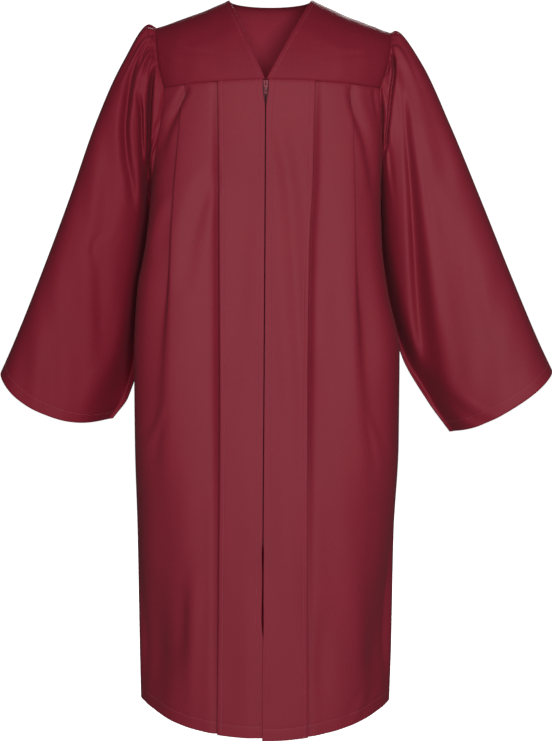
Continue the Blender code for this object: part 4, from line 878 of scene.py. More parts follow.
def backPanel():
    settings = back
    armhole = 6 / 64            # share of the width that lies along one armhole
    total = settings["columns"]
    middleColumns = total - 2 * yoke["armholeColumns"]
    fractions = np.concatenate([
        np.arange(yoke["armholeColumns"]) / yoke["armholeColumns"] * armhole,
        armhole + (1 - 2 * armhole) * np.arange(middleColumns + 1) / middleColumns,
        1 - armhole + np.arange(1, yoke["armholeColumns"] + 1) / yoke["armholeColumns"] * armhole,
    ])
    levels = np.linspace(0, 1, settings["levels"])
    hemLine = 1 - cloth["hemHeight"] / 1.10
    extra = [0.001, 0.0025, 0.008, 0.013, 0.018, hemLine - 0.001, hemLine, hemLine + 0.001, 0.9985]
    levels = np.unique(np.concatenate([[k for k in levels if min(abs(k - e) for e in extra) > 0.0012], extra]))
    end = math.pi / 2 + yoke["sideSeamHalfGap"]

    def place(fraction, level, drop):
        side = 1 if fraction <= 0.5 else -1
        fromSide = fraction if side > 0 else 1 - fraction
        position = fromSide * 64
        low = end + (math.pi - end) * fromSide * 2
        if position <= 6 + 1e-9:
            top = max(abs(float(armholePlace(side, 1 - position / 6, True)[0])), end)
        else:
            corner = abs(armholeCorner(side, True)[1])
            share = (position - 6) / 26
            top = math.pi - (math.pi - corner) * (1 - share) ** (body["squareness"] / 2)
        settle = smooth(level / settings["settleAt"])
        drift = 0.35 * math.sin(2.3 * math.pi * fraction + 0.7)
        uneven = 0.18 * math.sin(2 * math.pi * 5 * fraction + 1.2) + 0.1 * math.sin(2 * math.pi * 11 * fraction)
        fineWave = np.sin(2 * math.pi * (settings["fineGathers"] * fraction + uneven))
        broadWave = math.sin(2 * math.pi * (settings["broadFolds"] * fraction + drift))
        wave = read(settings["gathers"], "fine", level) * fineWave + read(settings["gathers"], "broad", level) * broadWave
        pucker = settings["puckerDepth"] * math.sin(2 * math.pi * settings["puckers"] * fraction + 3 * math.sin(17 * fraction))
        wave = wave + pucker * smooth(level / 0.004) * (1 - smooth(level / 0.035))
        fade = mix(smooth((position - 6) / 3), smooth(position / 8), settle)
        return side * np.minimum(mix(top, low, settle), math.pi - 1e-6), -wave * fade, side, position

    columns = []
    seam = np.array([yoke["backSeamDrop"]])
    lowest = np.array([body["hemBack"]])
    for fraction in fractions:
        angle, inward, side, position = place(fraction, np.zeros(1), seam)
        if position <= 6 + 1e-9:
            top = float(armholePlace(side, 1 - position / 6, True)[1]) + (cloth["seamGap"] if position > 6 - 1e-6 else 0)
        else:
            top = float(seamDropAt(bodyPoint(angle, seam, inward)[0, 0], True)) + cloth["seamGap"]
        angle, inward, _, _ = place(fraction, np.ones(1), lowest)
        hem = float(hemDropAt(bodyPoint(angle, lowest, inward)[0, 0], body["hemBack"]))
        drop = mix(top, hem, levels)
        angle, inward, _, _ = place(fraction, levels, drop)
        columns.append((angle, drop, inward, np.full_like(drop, top), np.full_like(drop, hem), np.full_like(drop, position)))
    angle, drop, inward, top, hem, position = (np.stack(part, axis=1) for part in zip(*columns))
    x = bodyPoint(angle, drop)[..., 0]
    onArmhole = position <= 6
    toSide = smooth((np.abs(angle) - math.pi / 2) / 0.25)
    relief = -creaseField(settings["creases"], x, drop) + 1.1 * mm * unevenness(7, x, drop, 0.16, 0.045)
    relief *= toSide * smooth((drop - top) / 0.03)
    relief -= np.where(onArmhole, 0, cloth["seamRoll"] * (1 - smooth((drop - top) / cloth["seamRollWidth"])))
    fromHem = hem - drop
    relief -= 0.3 * mm * bell(fromHem - cloth["hemHeight"], 0.8 * mm)
    grid = bodyPoint(angle, drop, inward - relief)
    normals = gridNormals(grid)
    if normals[len(levels) // 2, total // 2] @ np.array([0, 1, 0]) < 0:
        normals = -normals
    for side, part in ((1, slice(0, yoke["armholeColumns"] + 1)), (-1, slice(-yoke["armholeColumns"] - 1, None))):
        normals[0, part] = seamNormals(grid[0, part], normals[0, part], side)
    hemExtra = cloth["hemLayer"] * smooth((cloth["hemHeight"] - fromHem) / (1.0 * mm) + 0.5)
    piece, outer, normals = clothPiece("backPanelCloth", grid, normals, insideExtra=hemExtra, finish=twill)
    hemRow = int(np.argmin(np.abs(levels - hemLine)))
    return piece, dict(hemStitch=(outer[hemRow], normals[hemRow]))


# yokes: plain cloth with a turned neck edge

yokeLook = dict(
    columns=44,
    neckTurn=6.5 * mm,          # width of the turned neck edge
    neckStep=0.35 * mm,
    creases={
        -1: [
            crease((0.066, 0.183, 0.4, 9, 9), (0.08, 0.172, 1.3, 9, 9), (0.094, 0.152, 1.3, 9, 9),
                   (0.104, 0.118, 0, 9, 9)),
            crease((0.1, 0.186, 0.5, 6, 6), (0.112, 0.176, 1.2, 6, 6), (0.121, 0.16, 1, 6, 6),
                   (0.127, 0.14, 0, 6, 6)),
            crease((0.048, 0.058, 0, 13, 13), (0.068, 0.075, -0.9, 13, 13), (0.086, 0.1, -0.8, 13, 13),
                   (0.098, 0.13, 0, 13, 13)),
        ],
        1: [
            crease((0.074, 0.192, 0.4, 9, 9), (0.088, 0.18, 1.3, 9, 9), (0.1, 0.16, 1.3, 9, 9),
                   (0.108, 0.128, 0, 9, 9)),
            crease((0.108, 0.192, 0.5, 6, 6), (0.118, 0.182, 1.2, 6, 6), (0.126, 0.166, 1, 6, 6),
                   (0.131, 0.148, 0, 6, 6)),
            crease((0.05, 0.062, 0, 13, 13), (0.07, 0.08, -0.9, 13, 13), (0.088, 0.106, -0.8, 13, 13),
                   (0.1, 0.14, 0, 13, 13)),
        ],
    },
)


def turnedEdge(distance):
    # The doubled neck edge stands a little higher, with a groove where it is stitched
    settings = yokeLook
    step = settings["neckStep"] * (1 - smooth((distance - settings["neckTurn"]) / (1.2 * mm)))
    return step - 0.3 * mm * bell(distance - settings["neckTurn"], 0.9 * mm) - 0.3 * mm * bell(distance, 1.2 * mm)


def frontYoke(side):
    settings = yokeLook
    turns = np.linspace(0, math.pi / 2, 2 * yoke["turnRows"] + 1)
    near = np.array([0, 0.7, 1.6, 3.0, 4.6, 5.8, 6.5, 7.2, 8.4]) * mm
    width = np.linalg.norm(yokeFrontPoint(side, np.ones_like(turns), turns)
                           - yokeFrontPoint(side, np.zeros_like(turns), turns), axis=1)[:, None]
    close = near[None, :] / width
    far = mix(close[:, -1:], 1.0, (np.arange(1, settings["columns"] + 1) / settings["columns"])[None, :])
    across = np.concatenate([close, far], axis=1)
    turn = np.broadcast_to(turns[:, None], across.shape)
    grid = yokeFrontPoint(side, across, turn)
    normals = gridNormals(grid)
    if normals[len(turns) // 2, settings["columns"] // 2] @ np.array([0, -1, 1]) < 0:
        normals = -normals
    distance = across * width
    drop = -grid[..., 2]
    toSeams = smooth(np.minimum(1 - across, 1) / 0.05) * smooth((math.pi / 2 - turn) / 0.12) * smooth(turn / 0.15)
    relief = -creaseField(settings["creases"][side], grid[..., 0] * side, drop) * toSeams
    relief += 0.5 * mm * unevenness(50 + side, grid[..., 0], drop * 2, 0.12, 0.03) * toSeams
    relief += turnedEdge(distance)
    toSeam = width * 0 + (math.pi / 2 - turn) * 0.09
    relief -= cloth["seamRoll"] * (1 - smooth(toSeam / cloth["seamRollWidth"]))
    grid = grid + normals * relief[..., None]
    normals = gridNormals(grid) * np.sign((gridNormals(grid) * normals).sum(-1, keepdims=True))
    normals[:, -1] = seamNormals(grid[:, -1], normals[:, -1], side)
    name = "frontYokeLeft" if side < 0 else "frontYokeRight"
    # the yoke gets the twill copy with painted shade
    piece, outer, normals = clothPiece(name, grid, normals, finish=shadedTwill)
    return piece, dict(neckStitch=(outer[:, 6], normals[:, 6]))


def backYoke():
    settings = yokeLook
    half = settings["columns"] + 4
    turns = np.concatenate([[0, 0.012, 0.03, 0.055, 0.08, 0.1, 0.12], np.linspace(0.145, math.pi / 2, 42)])
    across = np.broadcast_to(np.linspace(-1, 1, 2 * half + 1)[None, :], (len(turns), 2 * half + 1))
    turn = np.broadcast_to(turns[:, None], across.shape)
    grid = yokeBackPoint(across, turn)
    normals = gridNormals(grid)
    if normals[len(turns) // 2, half] @ np.array([0, 1, 1]) < 0:
        normals = -normals
    toSeams = smooth((1 - np.abs(across)) / 0.05) * smooth((math.pi / 2 - turn) / 0.12) * smooth(turn / 0.3)
    relief = 0.8 * mm * unevenness(61, grid[..., 0], -grid[..., 2] * 2, 0.14, 0.04) * toSeams
    fromNeck = np.concatenate([np.zeros((1, across.shape[1])),
                               np.cumsum(np.linalg.norm(np.diff(grid, axis=0), axis=2), axis=0)], axis=0)
    onNeck = smooth((yoke["backNeckShare"] - np.abs(across)) / 0.03 + 1)
    relief += turnedEdge(fromNeck) * onNeck
    relief -= cloth["seamRoll"] * (1 - smooth((math.pi / 2 - turn) * 0.09 / cloth["seamRollWidth"]))
    grid = grid + normals * relief[..., None]
    normals = gridNormals(grid) * np.sign((gridNormals(grid) * normals).sum(-1, keepdims=True))
    for side, end in ((-1, 0), (1, -1)):
        normals[:, end] = seamNormals(grid[:, end], normals[:, end], side)
    # the back yoke gets the twill copy with painted shade
    piece, outer, normals = clothPiece("backYokeCloth", grid, normals, finish=shadedTwill)
    row = int(np.argmin(np.abs(fromNeck[:, half] - settings["neckTurn"])))
    onNeckColumns = np.abs(across[0]) <= yoke["backNeckShare"]
    return piece, dict(neckStitch=(outer[row, onNeckColumns], normals[row, onNeckColumns]))


# sleeves: gathered into the armhole, open at the cuff

sleeve = dict(
    squareness=2.15,
    outerFrontSquareness=2.5,
    levels=184,
    columns=dict(frontYoke=3, front=5, back=2, backYoke=2),     # for each step of the armhole
    joinAt=0.16,
    gatherCount=14,
    gatherDepth=0.0032,
    gatherFade=0.16,
    puckerCount=37,
    puckerDepth=0.8 * mm,
    cuffTurn=0.0285,            # share of the length that is turned up
    backShare=0.6,
    # from armhole (t = 0) to cuff (t = 1): the outer and the inner edge, half depth front to back,
    # how far the inner edge lies back, and how far front and back hang below the edges
    sections={
        -1: table("t outerX outerDrop innerX innerDrop depth behind sag",
                  (0.00, -0.1972, 0.0470, -0.2095, 0.331, 0.060, 0.000, 0.0),
                  (0.03, -0.2105, 0.0430, -0.2120, 0.334, 0.067, 0.004, 0.0),
                  (0.12, -0.2525, 0.1013, -0.2130, 0.382, 0.080, 0.034, 0.0),
                  (0.29, -0.3001, 0.2047, -0.2225, 0.455, 0.090, 0.048, 0.0),
                  (0.51, -0.3499, 0.3433, -0.2345, 0.540, 0.092, 0.050, 0.003),
                  (0.74, -0.4036, 0.4830, -0.2370, 0.630, 0.093, 0.050, 0.012),
                  (0.91, -0.4466, 0.5880, -0.2535, 0.692, 0.094, 0.036, 0.023),
                  (1.00, -0.4718, 0.6443, -0.2800, 0.7285, 0.095, 0.028, 0.029)),
        1: table("t outerX outerDrop innerX innerDrop depth behind sag",
                 (0.00, 0.2076, 0.0550, 0.1940, 0.331, 0.060, 0.000, 0.0),
                 (0.03, 0.2180, 0.0545, 0.1960, 0.334, 0.067, 0.004, 0.0),
                 (0.12, 0.2580, 0.1013, 0.1925, 0.382, 0.080, 0.034, 0.0),
                 (0.29, 0.3072, 0.2047, 0.1965, 0.455, 0.090, 0.048, 0.0),
                 (0.51, 0.3658, 0.3433, 0.2110, 0.540, 0.092, 0.050, 0.002),
                 (0.74, 0.4229, 0.4830, 0.2350, 0.622, 0.093, 0.046, 0.008),
                 (0.91, 0.4677, 0.5880, 0.2800, 0.700, 0.094, 0.030, 0.011),
                 (1.00, 0.4928, 0.6408, 0.3180, 0.752, 0.095, 0.024, 0.011)),
    },
    creases={
        -1: [
            crease((0.089, 0.219, 0, 3.9, 3.9), (0.102, 0.2267, 6, 4.6, 5.1),
                   (0.123, 0.2344, 9.8, 5.4, 6.2), (0.15, 0.2402, 12, 5.8, 6.6),
                   (0.184, 0.2445, 13.5, 6.2, 6.9), (0.226, 0.2483, 13.5, 6.2, 6.9),
                   (0.269, 0.2461, 10.5, 6.2, 6.9), (0.311, 0.2394, 6.8, 5.8, 6.6),
                   (0.367, 0.2335, 0, 5.8, 6.6)),
            crease((0.096, 0.2085, 0, 5, 5), (0.12, 0.2218, -2.9, 5.9, 5.9),
                   (0.168, 0.2326, -3.4, 6.4, 6.4), (0.21, 0.2371, -3.4, 6.4, 6.4),
                   (0.261, 0.2334, -3.4, 6.4, 6.4), (0.311, 0.2265, -2.6, 6.4, 6.4),
                   (0.362, 0.2245, 0, 6.4, 6.4)),
            crease((0.158, 0.2276, 0, 3.2, 3.2), (0.178, 0.2229, 10.4, 3.5, 3.5),
                   (0.201, 0.221, 19.5, 3.7, 3.9), (0.235, 0.2204, 19.5, 3.9, 4),
                   (0.268, 0.2191, 15.6, 4.2, 4.2), (0.311, 0.2179, 6.5, 4.4, 4.4),
                   (0.345, 0.2179, 0, 4.4, 4.4)),
            crease((0.113, 0.1974, 5.4, 2.5, 2.8), (0.13, 0.2008, 18.9, 3, 3.3),
                   (0.153, 0.2038, 27, 3.5, 3.9), (0.183, 0.2066, 31.1, 3.7, 4),
                   (0.226, 0.2088, 32.4, 3.7, 4), (0.268, 0.2109, 29.7, 3.7, 4),
                   (0.319, 0.2132, 18.9, 4.2, 4.6), (0.379, 0.2162, 0, 5.3, 5.3)),
            crease((0.07, 0.2074, 4.2, 1.8, 1.9), (0.078, 0.2132, 8.4, 1.9, 2.1),
                   (0.09, 0.2207, 7, 2.1, 2.5), (0.106, 0.2275, 0, 2.3, 2.8)),
            crease((0.08, 0.2031, 5.6, 1.8, 1.9), (0.087, 0.2089, 9.5, 1.9, 2.1),
                   (0.101, 0.217, 8.4, 2.1, 2.5), (0.124, 0.2243, 0, 2.3, 2.8)),
            crease((0.092, 0.1995, 5.6, 1.8, 1.9), (0.099, 0.2041, 9.5, 1.9, 2.1),
                   (0.113, 0.2108, 7.3, 2.1, 2.5), (0.134, 0.2158, 0, 2.3, 2.8)),
            crease((0.103, 0.1969, 5.6, 1.8, 1.9), (0.111, 0.2014, 8.4, 1.9, 2.1),
                   (0.123, 0.2056, 5.6, 2.1, 2.5), (0.14, 0.2081, 0, 2.3, 2.8)),
            crease((0.193, 0.273, 0, 12.3, 12.3), (0.244, 0.2764, 2.2, 12.3, 12.3),
                   (0.303, 0.2793, 2.6, 12.3, 12.3), (0.354, 0.2832, 2.6, 12.3, 12.3),
                   (0.397, 0.2871, 2.4, 9.8, 12.3), (0.426, 0.2966, 0, 7.4, 9.8)),
            crease((0.402, 0.293, 0, 4.5, 4.9), (0.415, 0.2999, 1.8, 4.9, 4.9),
                   (0.429, 0.3043, 2.1, 5.9, 4.9), (0.443, 0.3034, 0.7, 7.4, 4.9),
                   (0.46, 0.3019, 0, 7.4, 4.9)),
            crease((0.431, 0.3115, 0, 9.8, 9.8), (0.473, 0.3078, -1.6, 7.4, 12.3),
                   (0.542, 0.307, -1.8, 7.4, 14.7), (0.594, 0.3101, -1.1, 7.4, 17.2),
                   (0.637, 0.3139, 0, 9.8, 17.2)),
            crease((0.439, 0.2851, 0, 14.8, 12.6), (0.499, 0.2861, 2.1, 14.8, 12.6),
                   (0.577, 0.2871, 2.3, 14.8, 12.6), (0.638, 0.2842, 0, 14.8, 12.6)),
            crease((0.268, 0.2117, 0, 8.4, 6.4), (0.327, 0.2133, 20, 10.6, 7.3),
                   (0.396, 0.2168, 30, 12.6, 8.4), (0.466, 0.2239, 35, 16.9, 10.6),
                   (0.537, 0.2315, 37.5, 19, 12.6), (0.598, 0.2403, 40, 21.1, 16.9),
                   (0.65, 0.2521, 40, 23.2, 23.2), (0.702, 0.2705, 35, 23.2, 29.5),
                   (0.754, 0.2844, 27.5, 23.2, 35.9)),
        ],
        1: [
            crease((0.07, 0.2055, 0, 2.3, 2.5), (0.091, 0.2063, 11.7, 2.5, 2.6),
                   (0.105, 0.21, 22.1, 2.6, 3), (0.127, 0.211, 23.4, 2.8, 3.2),
                   (0.15, 0.2078, 18.2, 2.6, 3), (0.177, 0.2049, 14.3, 2.3, 2.6),
                   (0.215, 0.2013, 13, 2.3, 2.6), (0.251, 0.1979, 10.4, 2.5, 2.8),
                   (0.285, 0.1949, 0, 2.5, 2.8)),
            crease((0.153, 0.1854, 5.4, 2.6, 2.8), (0.17, 0.187, 17.6, 3.2, 3.3),
                   (0.192, 0.1887, 25.7, 3.5, 3.7), (0.226, 0.1893, 29.7, 3.7, 3.9),
                   (0.268, 0.1895, 29.7, 3.9, 4), (0.319, 0.1902, 21.6, 4.2, 4.6),
                   (0.379, 0.1912, 0, 5.3, 5.3)),
            crease((0.086, 0.2029, 0, 2.2, 2.3), (0.105, 0.1993, 7.8, 2.5, 2.8),
                   (0.118, 0.2, 9.1, 2.5, 2.8), (0.132, 0.2007, 0, 2.3, 2.5)),
            crease((0.15, 0.225, 0, 3.7, 4), (0.184, 0.2291, 2.5, 4, 4.8), (0.227, 0.2331, 4.6, 4.6, 6.1),
                   (0.277, 0.2377, 8, 5.6, 7.7), (0.337, 0.2429, 11.5, 6.9, 9.7),
                   (0.405, 0.2479, 16.1, 8, 12.1), (0.474, 0.2532, 18.4, 9.3, 14.1),
                   (0.543, 0.2601, 19.5, 10.9, 16.2), (0.604, 0.2677, 18.4, 12.1, 18.2),
                   (0.657, 0.2795, 11.5, 14.1, 18.2), (0.7, 0.2956, 0, 14.1, 18.2)),
            crease((0.202, 0.236, 0, 6.4, 6.4), (0.244, 0.2412, -2.9, 6.4, 7.2),
                   (0.312, 0.2526, -3.9, 7.2, 8.4), (0.388, 0.2635, -3.9, 8.4, 10.6),
                   (0.491, 0.2773, -3.9, 8.4, 12.6), (0.577, 0.2918, -3.9, 10.6, 14.8),
                   (0.663, 0.3078, -2.6, 10.6, 14.8), (0.716, 0.3211, 0, 10.6, 14.8)),
            crease((0.108, 0.2331, 0, 10.6, 10.6), (0.142, 0.2482, 2.6, 12.6, 12.6),
                   (0.184, 0.266, 3.4, 14.8, 14.8), (0.235, 0.2831, 3.4, 14.8, 14.8),
                   (0.295, 0.2995, 2.6, 14.8, 14.8), (0.354, 0.3115, 0, 14.8, 14.8)),
            crease((0.414, 0.3391, 0, 8.4, 8.4), (0.482, 0.3498, 1.2, 8.4, 8.4),
                   (0.559, 0.3624, 1.2, 8.4, 8.4), (0.61, 0.3728, 0, 8.4, 8.4)),
            crease((0.159, 0.2031, 0, 6.4, 8.4), (0.201, 0.2109, -1.6, 6.4, 9.5),
                   (0.286, 0.2165, -1.9, 8.4, 10.6), (0.371, 0.2199, -2.1, 10.6, 10.6),
                   (0.457, 0.2244, -2.1, 10.6, 10.6), (0.526, 0.2306, -1.6, 10.6, 10.6),
                   (0.578, 0.2377, 0, 10.6, 10.6)),
            crease((0.268, 0.19, 0, 6.6, 5.5), (0.336, 0.1909, 21.6, 8.8, 6.6),
                   (0.405, 0.1932, 29.7, 11, 7.6), (0.466, 0.2006, 35.1, 13.1, 8.8),
                   (0.527, 0.2104, 37.8, 15.4, 11), (0.58, 0.223, 40.5, 17.6, 13.1),
                   (0.624, 0.2402, 40.5, 19.8, 17.6), (0.668, 0.2645, 37.8, 22, 22),
                   (0.711, 0.289, 32.4, 22, 26.4), (0.763, 0.3161, 24.3, 22, 30.8)),
            crease((0.677, 0.3082, 0, 9.1, 9.1), (0.698, 0.3237, 3.6, 9.1, 11.4),
                   (0.715, 0.3409, 4.8, 9.1, 13.7), (0.726, 0.3577, 3.6, 9.1, 13.7),
                   (0.736, 0.3762, 0, 9.1, 13.7)),
        ],
    },
    backCreases=[
        crease((0.075, 0.216, 6, 11, 11), (0.138, 0.2235, 10, 11, 11), (0.214, 0.23, 9.7, 11, 11),
               (0.301, 0.2355, 4.5, 11, 11), (0.4, 0.24, 0, 11, 11)),
        crease((0.065, 0.234, 4, 11, 11), (0.122, 0.2471, 8, 11, 11), (0.189, 0.2585, 7.8, 11, 11),
               (0.265, 0.2681, 3.6, 11, 11), (0.35, 0.276, 0, 11, 11)),
        crease((0.11, 0.206, 3.6, 6, 6), (0.143, 0.2087, 6, 6, 6), (0.182, 0.211, 5.8, 6, 6),
               (0.228, 0.2127, 2.7, 6, 6), (0.28, 0.214, 0, 6, 6)),
        crease((0.3, 0.29, 0, 22, 22), (0.37, 0.3012, 6, 22, 22), (0.45, 0.315, 5.8, 22, 22),
               (0.54, 0.3312, 2.7, 22, 22), (0.64, 0.35, 0, 22, 22)),
        crease((0.36, 0.262, 0.7, 18, 18), (0.444, 0.2711, 7, 18, 18), (0.535, 0.2805, 6.8, 18, 18),
               (0.634, 0.2901, 3.1, 18, 18), (0.74, 0.3, 0, 18, 18)),
        crease((0.4, 0.35, -0, 20, 20), (0.464, 0.3644, -3, 20, 20), (0.535, 0.3775, -2.9, 20, 20),
               (0.614, 0.3894, -1.4, 20, 20), (0.7, 0.4, -0, 20, 20)),
    ],
)


def sleeveForm(side, t, angle):
    # angle 0 is the outer edge, 90 degrees the front
    rows = sleeve["sections"][side]
    value = {name: read(rows, name, t) for name in rows[0] if name != "t"}
    outer = vector(value["outerX"], 0, -value["outerDrop"])
    inner = vector(value["innerX"], 0, -value["innerDrop"])
    chord = (outer - inner) / 2
    down = unit(vector(side * chord[..., 2], 0, -side * chord[..., 0]))
    outerFront = (np.sin(angle) > 0) & (np.cos(angle) > 0)
    power = 2 / np.where(outerFront, sleeve["outerFrontSquareness"], sleeve["squareness"])
    along = np.copysign(np.abs(np.cos(angle)) ** power, np.cos(angle))
    forward = np.copysign(np.abs(np.sin(angle)) ** power, np.sin(angle))
    point = (outer + inner) / 2 + chord * along[..., None]
    point = point + vector(0, value["behind"] * (1 - along) / 2 - value["depth"] * forward, 0)
    return point + down * (value["sag"] * np.sin(angle) ** 2)[..., None]


def sleevePiece(side):
    settings = sleeve
    ring = armholeRing(side)
    parts = settings["columns"]
    splits = [parts["frontYoke"]] * yoke["turnRows"] + [parts["front"]] * yoke["armholeColumns"]
    splits += [parts["back"]] * yoke["armholeColumns"] + [parts["backYoke"]] * yoke["turnRows"]
    places = np.concatenate([i + np.arange(n) / n for i, n in enumerate(splits)])
    share = (places % 1)[:, None]
    whole = places.astype(int)
    doubled = ring[whole] * (1 - share) + ring[(whole + 1) % len(ring)] * share
    count = len(doubled)
    u = np.linspace(0, 1, settings["levels"])
    levels = 0.3 * u * u + 0.7 * u
    cuffLine = 1 - settings["cuffTurn"]
    extra = [cuffLine - 0.0018, cuffLine, cuffLine + 0.0018, 0.9985]
    levels = np.unique(np.concatenate([[k for k in levels if min(abs(k - e) for e in extra) > 0.0016], extra]))
    level, place = np.meshgrid(levels[1:], places, indexing="ij")
    angle = 2 * math.pi * place / len(ring)
    form = sleeveForm(side, level, angle)
    drift = form - sleeveForm(side, np.zeros_like(level), angle)
    join = smooth(level / settings["joinAt"])[..., None]
    point = (doubled[None] + drift) * (1 - join) + form * join

    # gathers spread from the armhole, strongest over the shoulder, each of its own depth and length
    middle = np.array([0, 0, -(yoke["underarm"] + yoke["shoulder"][side][1]) / 2])
    away = unit((doubled - middle) * [0, 1, 1])[None]
    head = np.sqrt(np.maximum(np.cos(np.minimum(angle, 2 * math.pi - angle) / 2), 0))
    wander = 0.22 * np.sin(3 * angle + 0.8 * side) + 0.15 * np.sin(5 * angle + 1.9)
    own = 1 + 0.45 * np.sin(4 * angle + 2.1 * side) + 0.25 * np.sin(9 * angle + 0.4)
    reach = settings["gatherFade"] * (1 + 0.5 * np.sin(6 * angle + side))
    rises = smooth(level / 0.03) * (1 - smooth((level - 0.03) / reach))
    wave = np.cos(settings["gatherCount"] * angle + 2 * math.pi * wander)
    puckers = np.sin(settings["puckerCount"] * angle + 2.5 * np.sin(4 * angle))
    short = smooth(level / 0.006) * (1 - smooth(level / 0.055))
    ripple = settings["gatherDepth"] * rises * own * wave + settings["puckerDepth"] * short * puckers
    point = point + away * (ripple * head)[..., None]

    # creases seen from the front and from behind
    x = point[..., 0] * side
    drop = -point[..., 2]
    facing = np.sin(angle)
    pressed = np.where(facing >= 0, creaseField(settings["creases"][side], x, drop),
                       creaseField(settings["backCreases"], x, drop) * settings["backShare"] * 1.4)
    pressed -= 1.2 * mm * unevenness(80 + side, x, drop, 0.14, 0.04) * smooth(level / 0.1)
    pressed *= smooth(np.abs(facing) * 2.2) * smooth(level / 0.03)
    point[..., 1] += np.sign(facing) * pressed
    fromCuff = (1 - level) * 0.7
    grid = np.concatenate([doubled[None], point])
    normals = gridNormals(grid, closed=True)
    centre = grid.mean(axis=1, keepdims=True)
    if ((grid - centre) * normals).sum(-1).mean() < 0:
        normals = -normals
    leaves = unit(np.array([side * 0.86, 0, -0.5]))
    normals[0] = seamNormals(np.concatenate([doubled[-1:], doubled, doubled[:1]]),
                             np.concatenate([normals[0][-1:], normals[0], normals[0][:1]]), side)[1:-1]
    out = leaves - normals[0] * (normals[0] @ leaves)[:, None]
    grid[0] = doubled + unit(out) * cloth["armholeGap"]
    fromCuff = np.concatenate([np.full((1, count), 1.0), fromCuff])
    grid = grid - normals * (0.3 * mm * bell(fromCuff - settings["cuffTurn"] * 0.7, 0.9 * mm))[..., None]
    cuffExtra = cloth["hemLayer"] * smooth((settings["cuffTurn"] * 0.7 - fromCuff) / (1.0 * mm) + 0.5)
    name = "sleeveLeftCloth" if side < 0 else "sleeveRightCloth"
    # the left sleeve gets the twill copy with painted shade, the right one the plain twill
    piece, outer, normals = clothPiece(name, grid, normals, closed=True, insideExtra=cuffExtra,
                                        finish=shadedTwill if side < 0 else twill)
    row = int(np.argmin(np.abs(levels - cuffLine)))
    loop = list(range(count)) + [0]
    return piece, dict(cuffStitch=(outer[row, loop], normals[row, loop]))


made = {}
for side in (-1, 1):
    made["front", side] = frontPanel(side)
    made["yoke", side] = frontYoke(side)
    made["sleeve", side] = sleevePiece(side)
made["yoke", 0] = backYoke()
made["back", 0] = backPanel()

# stitches and zip teeth: one Geometry Nodes tree sets small shapes along lines

stitches = dict(pitch=3.1 * mm, length=2.3 * mm, width=0.58 * mm, edgeWidth=0.34 * mm, lift=0.06 * mm)
zipTeeth = dict(pitch=1.5 * mm, length=0.85 * mm, width=1.5 * mm, offset=0.45 * mm, inward=0.55 * mm)


def rowTree(name, finish):
    # Tree that sets a rounded bead on every step of a line and joins the beads into one mesh
    tree = bpy.data.node_groups.new(name, "GeometryNodeTree")
    face = tree.interface
    face.new_socket("Geometry", in_out="INPUT", socket_type="NodeSocketGeometry")
    for label in ("Pitch", "Bead Length", "Bead Width", "Bead Height"):
        face.new_socket(label, in_out="INPUT", socket_type="NodeSocketFloat")
    face.new_socket("Geometry", in_out="OUTPUT", socket_type="NodeSocketGeometry")
    start = tree.nodes.new("NodeGroupInput")
    end = tree.nodes.new("NodeGroupOutput")
    curve = add(tree, "GeometryNodeMeshToCurve", {"Mesh": start.outputs["Geometry"]})
    evenly = add(tree, "GeometryNodeResampleCurve", {"Curve": curve.outputs[0], "Length": start.outputs["Pitch"]},
                 mode="LENGTH")
    size = add(tree, "ShaderNodeCombineXYZ", {"X": start.outputs["Bead Length"], "Y": start.outputs["Bead Width"],
                                              "Z": start.outputs["Bead Height"]})
    bead = add(tree, "GeometryNodeMeshIcoSphere", {"Radius": 0.5, "Subdivisions": 1})
    shaped = add(tree, "GeometryNodeTransform", {"Geometry": bead.outputs[0], "Scale": size.outputs[0]})
    tangent = add(tree, "GeometryNodeInputTangent")
    turned = add(tree, "FunctionNodeAlignRotationToVector", {"Vector": tangent.outputs[0]}, axis="X")
    placed = add(tree, "GeometryNodeInstanceOnPoints", {"Points": evenly.outputs[0], "Instance": shaped.outputs[0],
                                                        "Rotation": turned.outputs[0]})
    whole = add(tree, "GeometryNodeRealizeInstances", {"Geometry": placed.outputs[0]})
    soft = add(tree, "GeometryNodeSetShadeSmooth", {"Geometry": whole.outputs[0]})
    painted = add(tree, "GeometryNodeSetMaterial", {"Geometry": soft.outputs[0], "Material": finish})
    tree.links.new(painted.outputs[0], end.inputs[0])
    return tree


def beadRow(name, lines, tree, sizes):
    # Runs the tree on the lines and keeps the result as a plain mesh
    points, edges = [], []
    for line in lines:
        first = len(points)
        points += [tuple(p) for p in line]
        edges += [(first + i, first + i + 1) for i in range(len(line) - 1)]
    mesh = bpy.data.meshes.new(name + "Lines")
    mesh.from_pydata(points, edges, [])
    helper = bpy.data.objects.new(name + "Lines", mesh)
    bpy.context.scene.collection.objects.link(helper)
    modifier = helper.modifiers.new("beads", "NODES")
    modifier.node_group = tree
    for item in tree.interface.items_tree:
        if item.in_out == "INPUT" and item.name in sizes:
            modifier[item.identifier] = sizes[item.name]
    evaluated = helper.evaluated_get(bpy.context.evaluated_depsgraph_get())
    result = bpy.data.meshes.new_from_object(evaluated)
    result.name = name
    piece = bpy.data.objects.new(name, result)
    bpy.context.scene.collection.objects.link(piece)
    bpy.data.objects.remove(helper)
    print("gown: %s, %d faces" % (name, len(result.polygons)))
    return piece


def lifted(line):
    points, normals = line
    return points + normals * stitches["lift"]


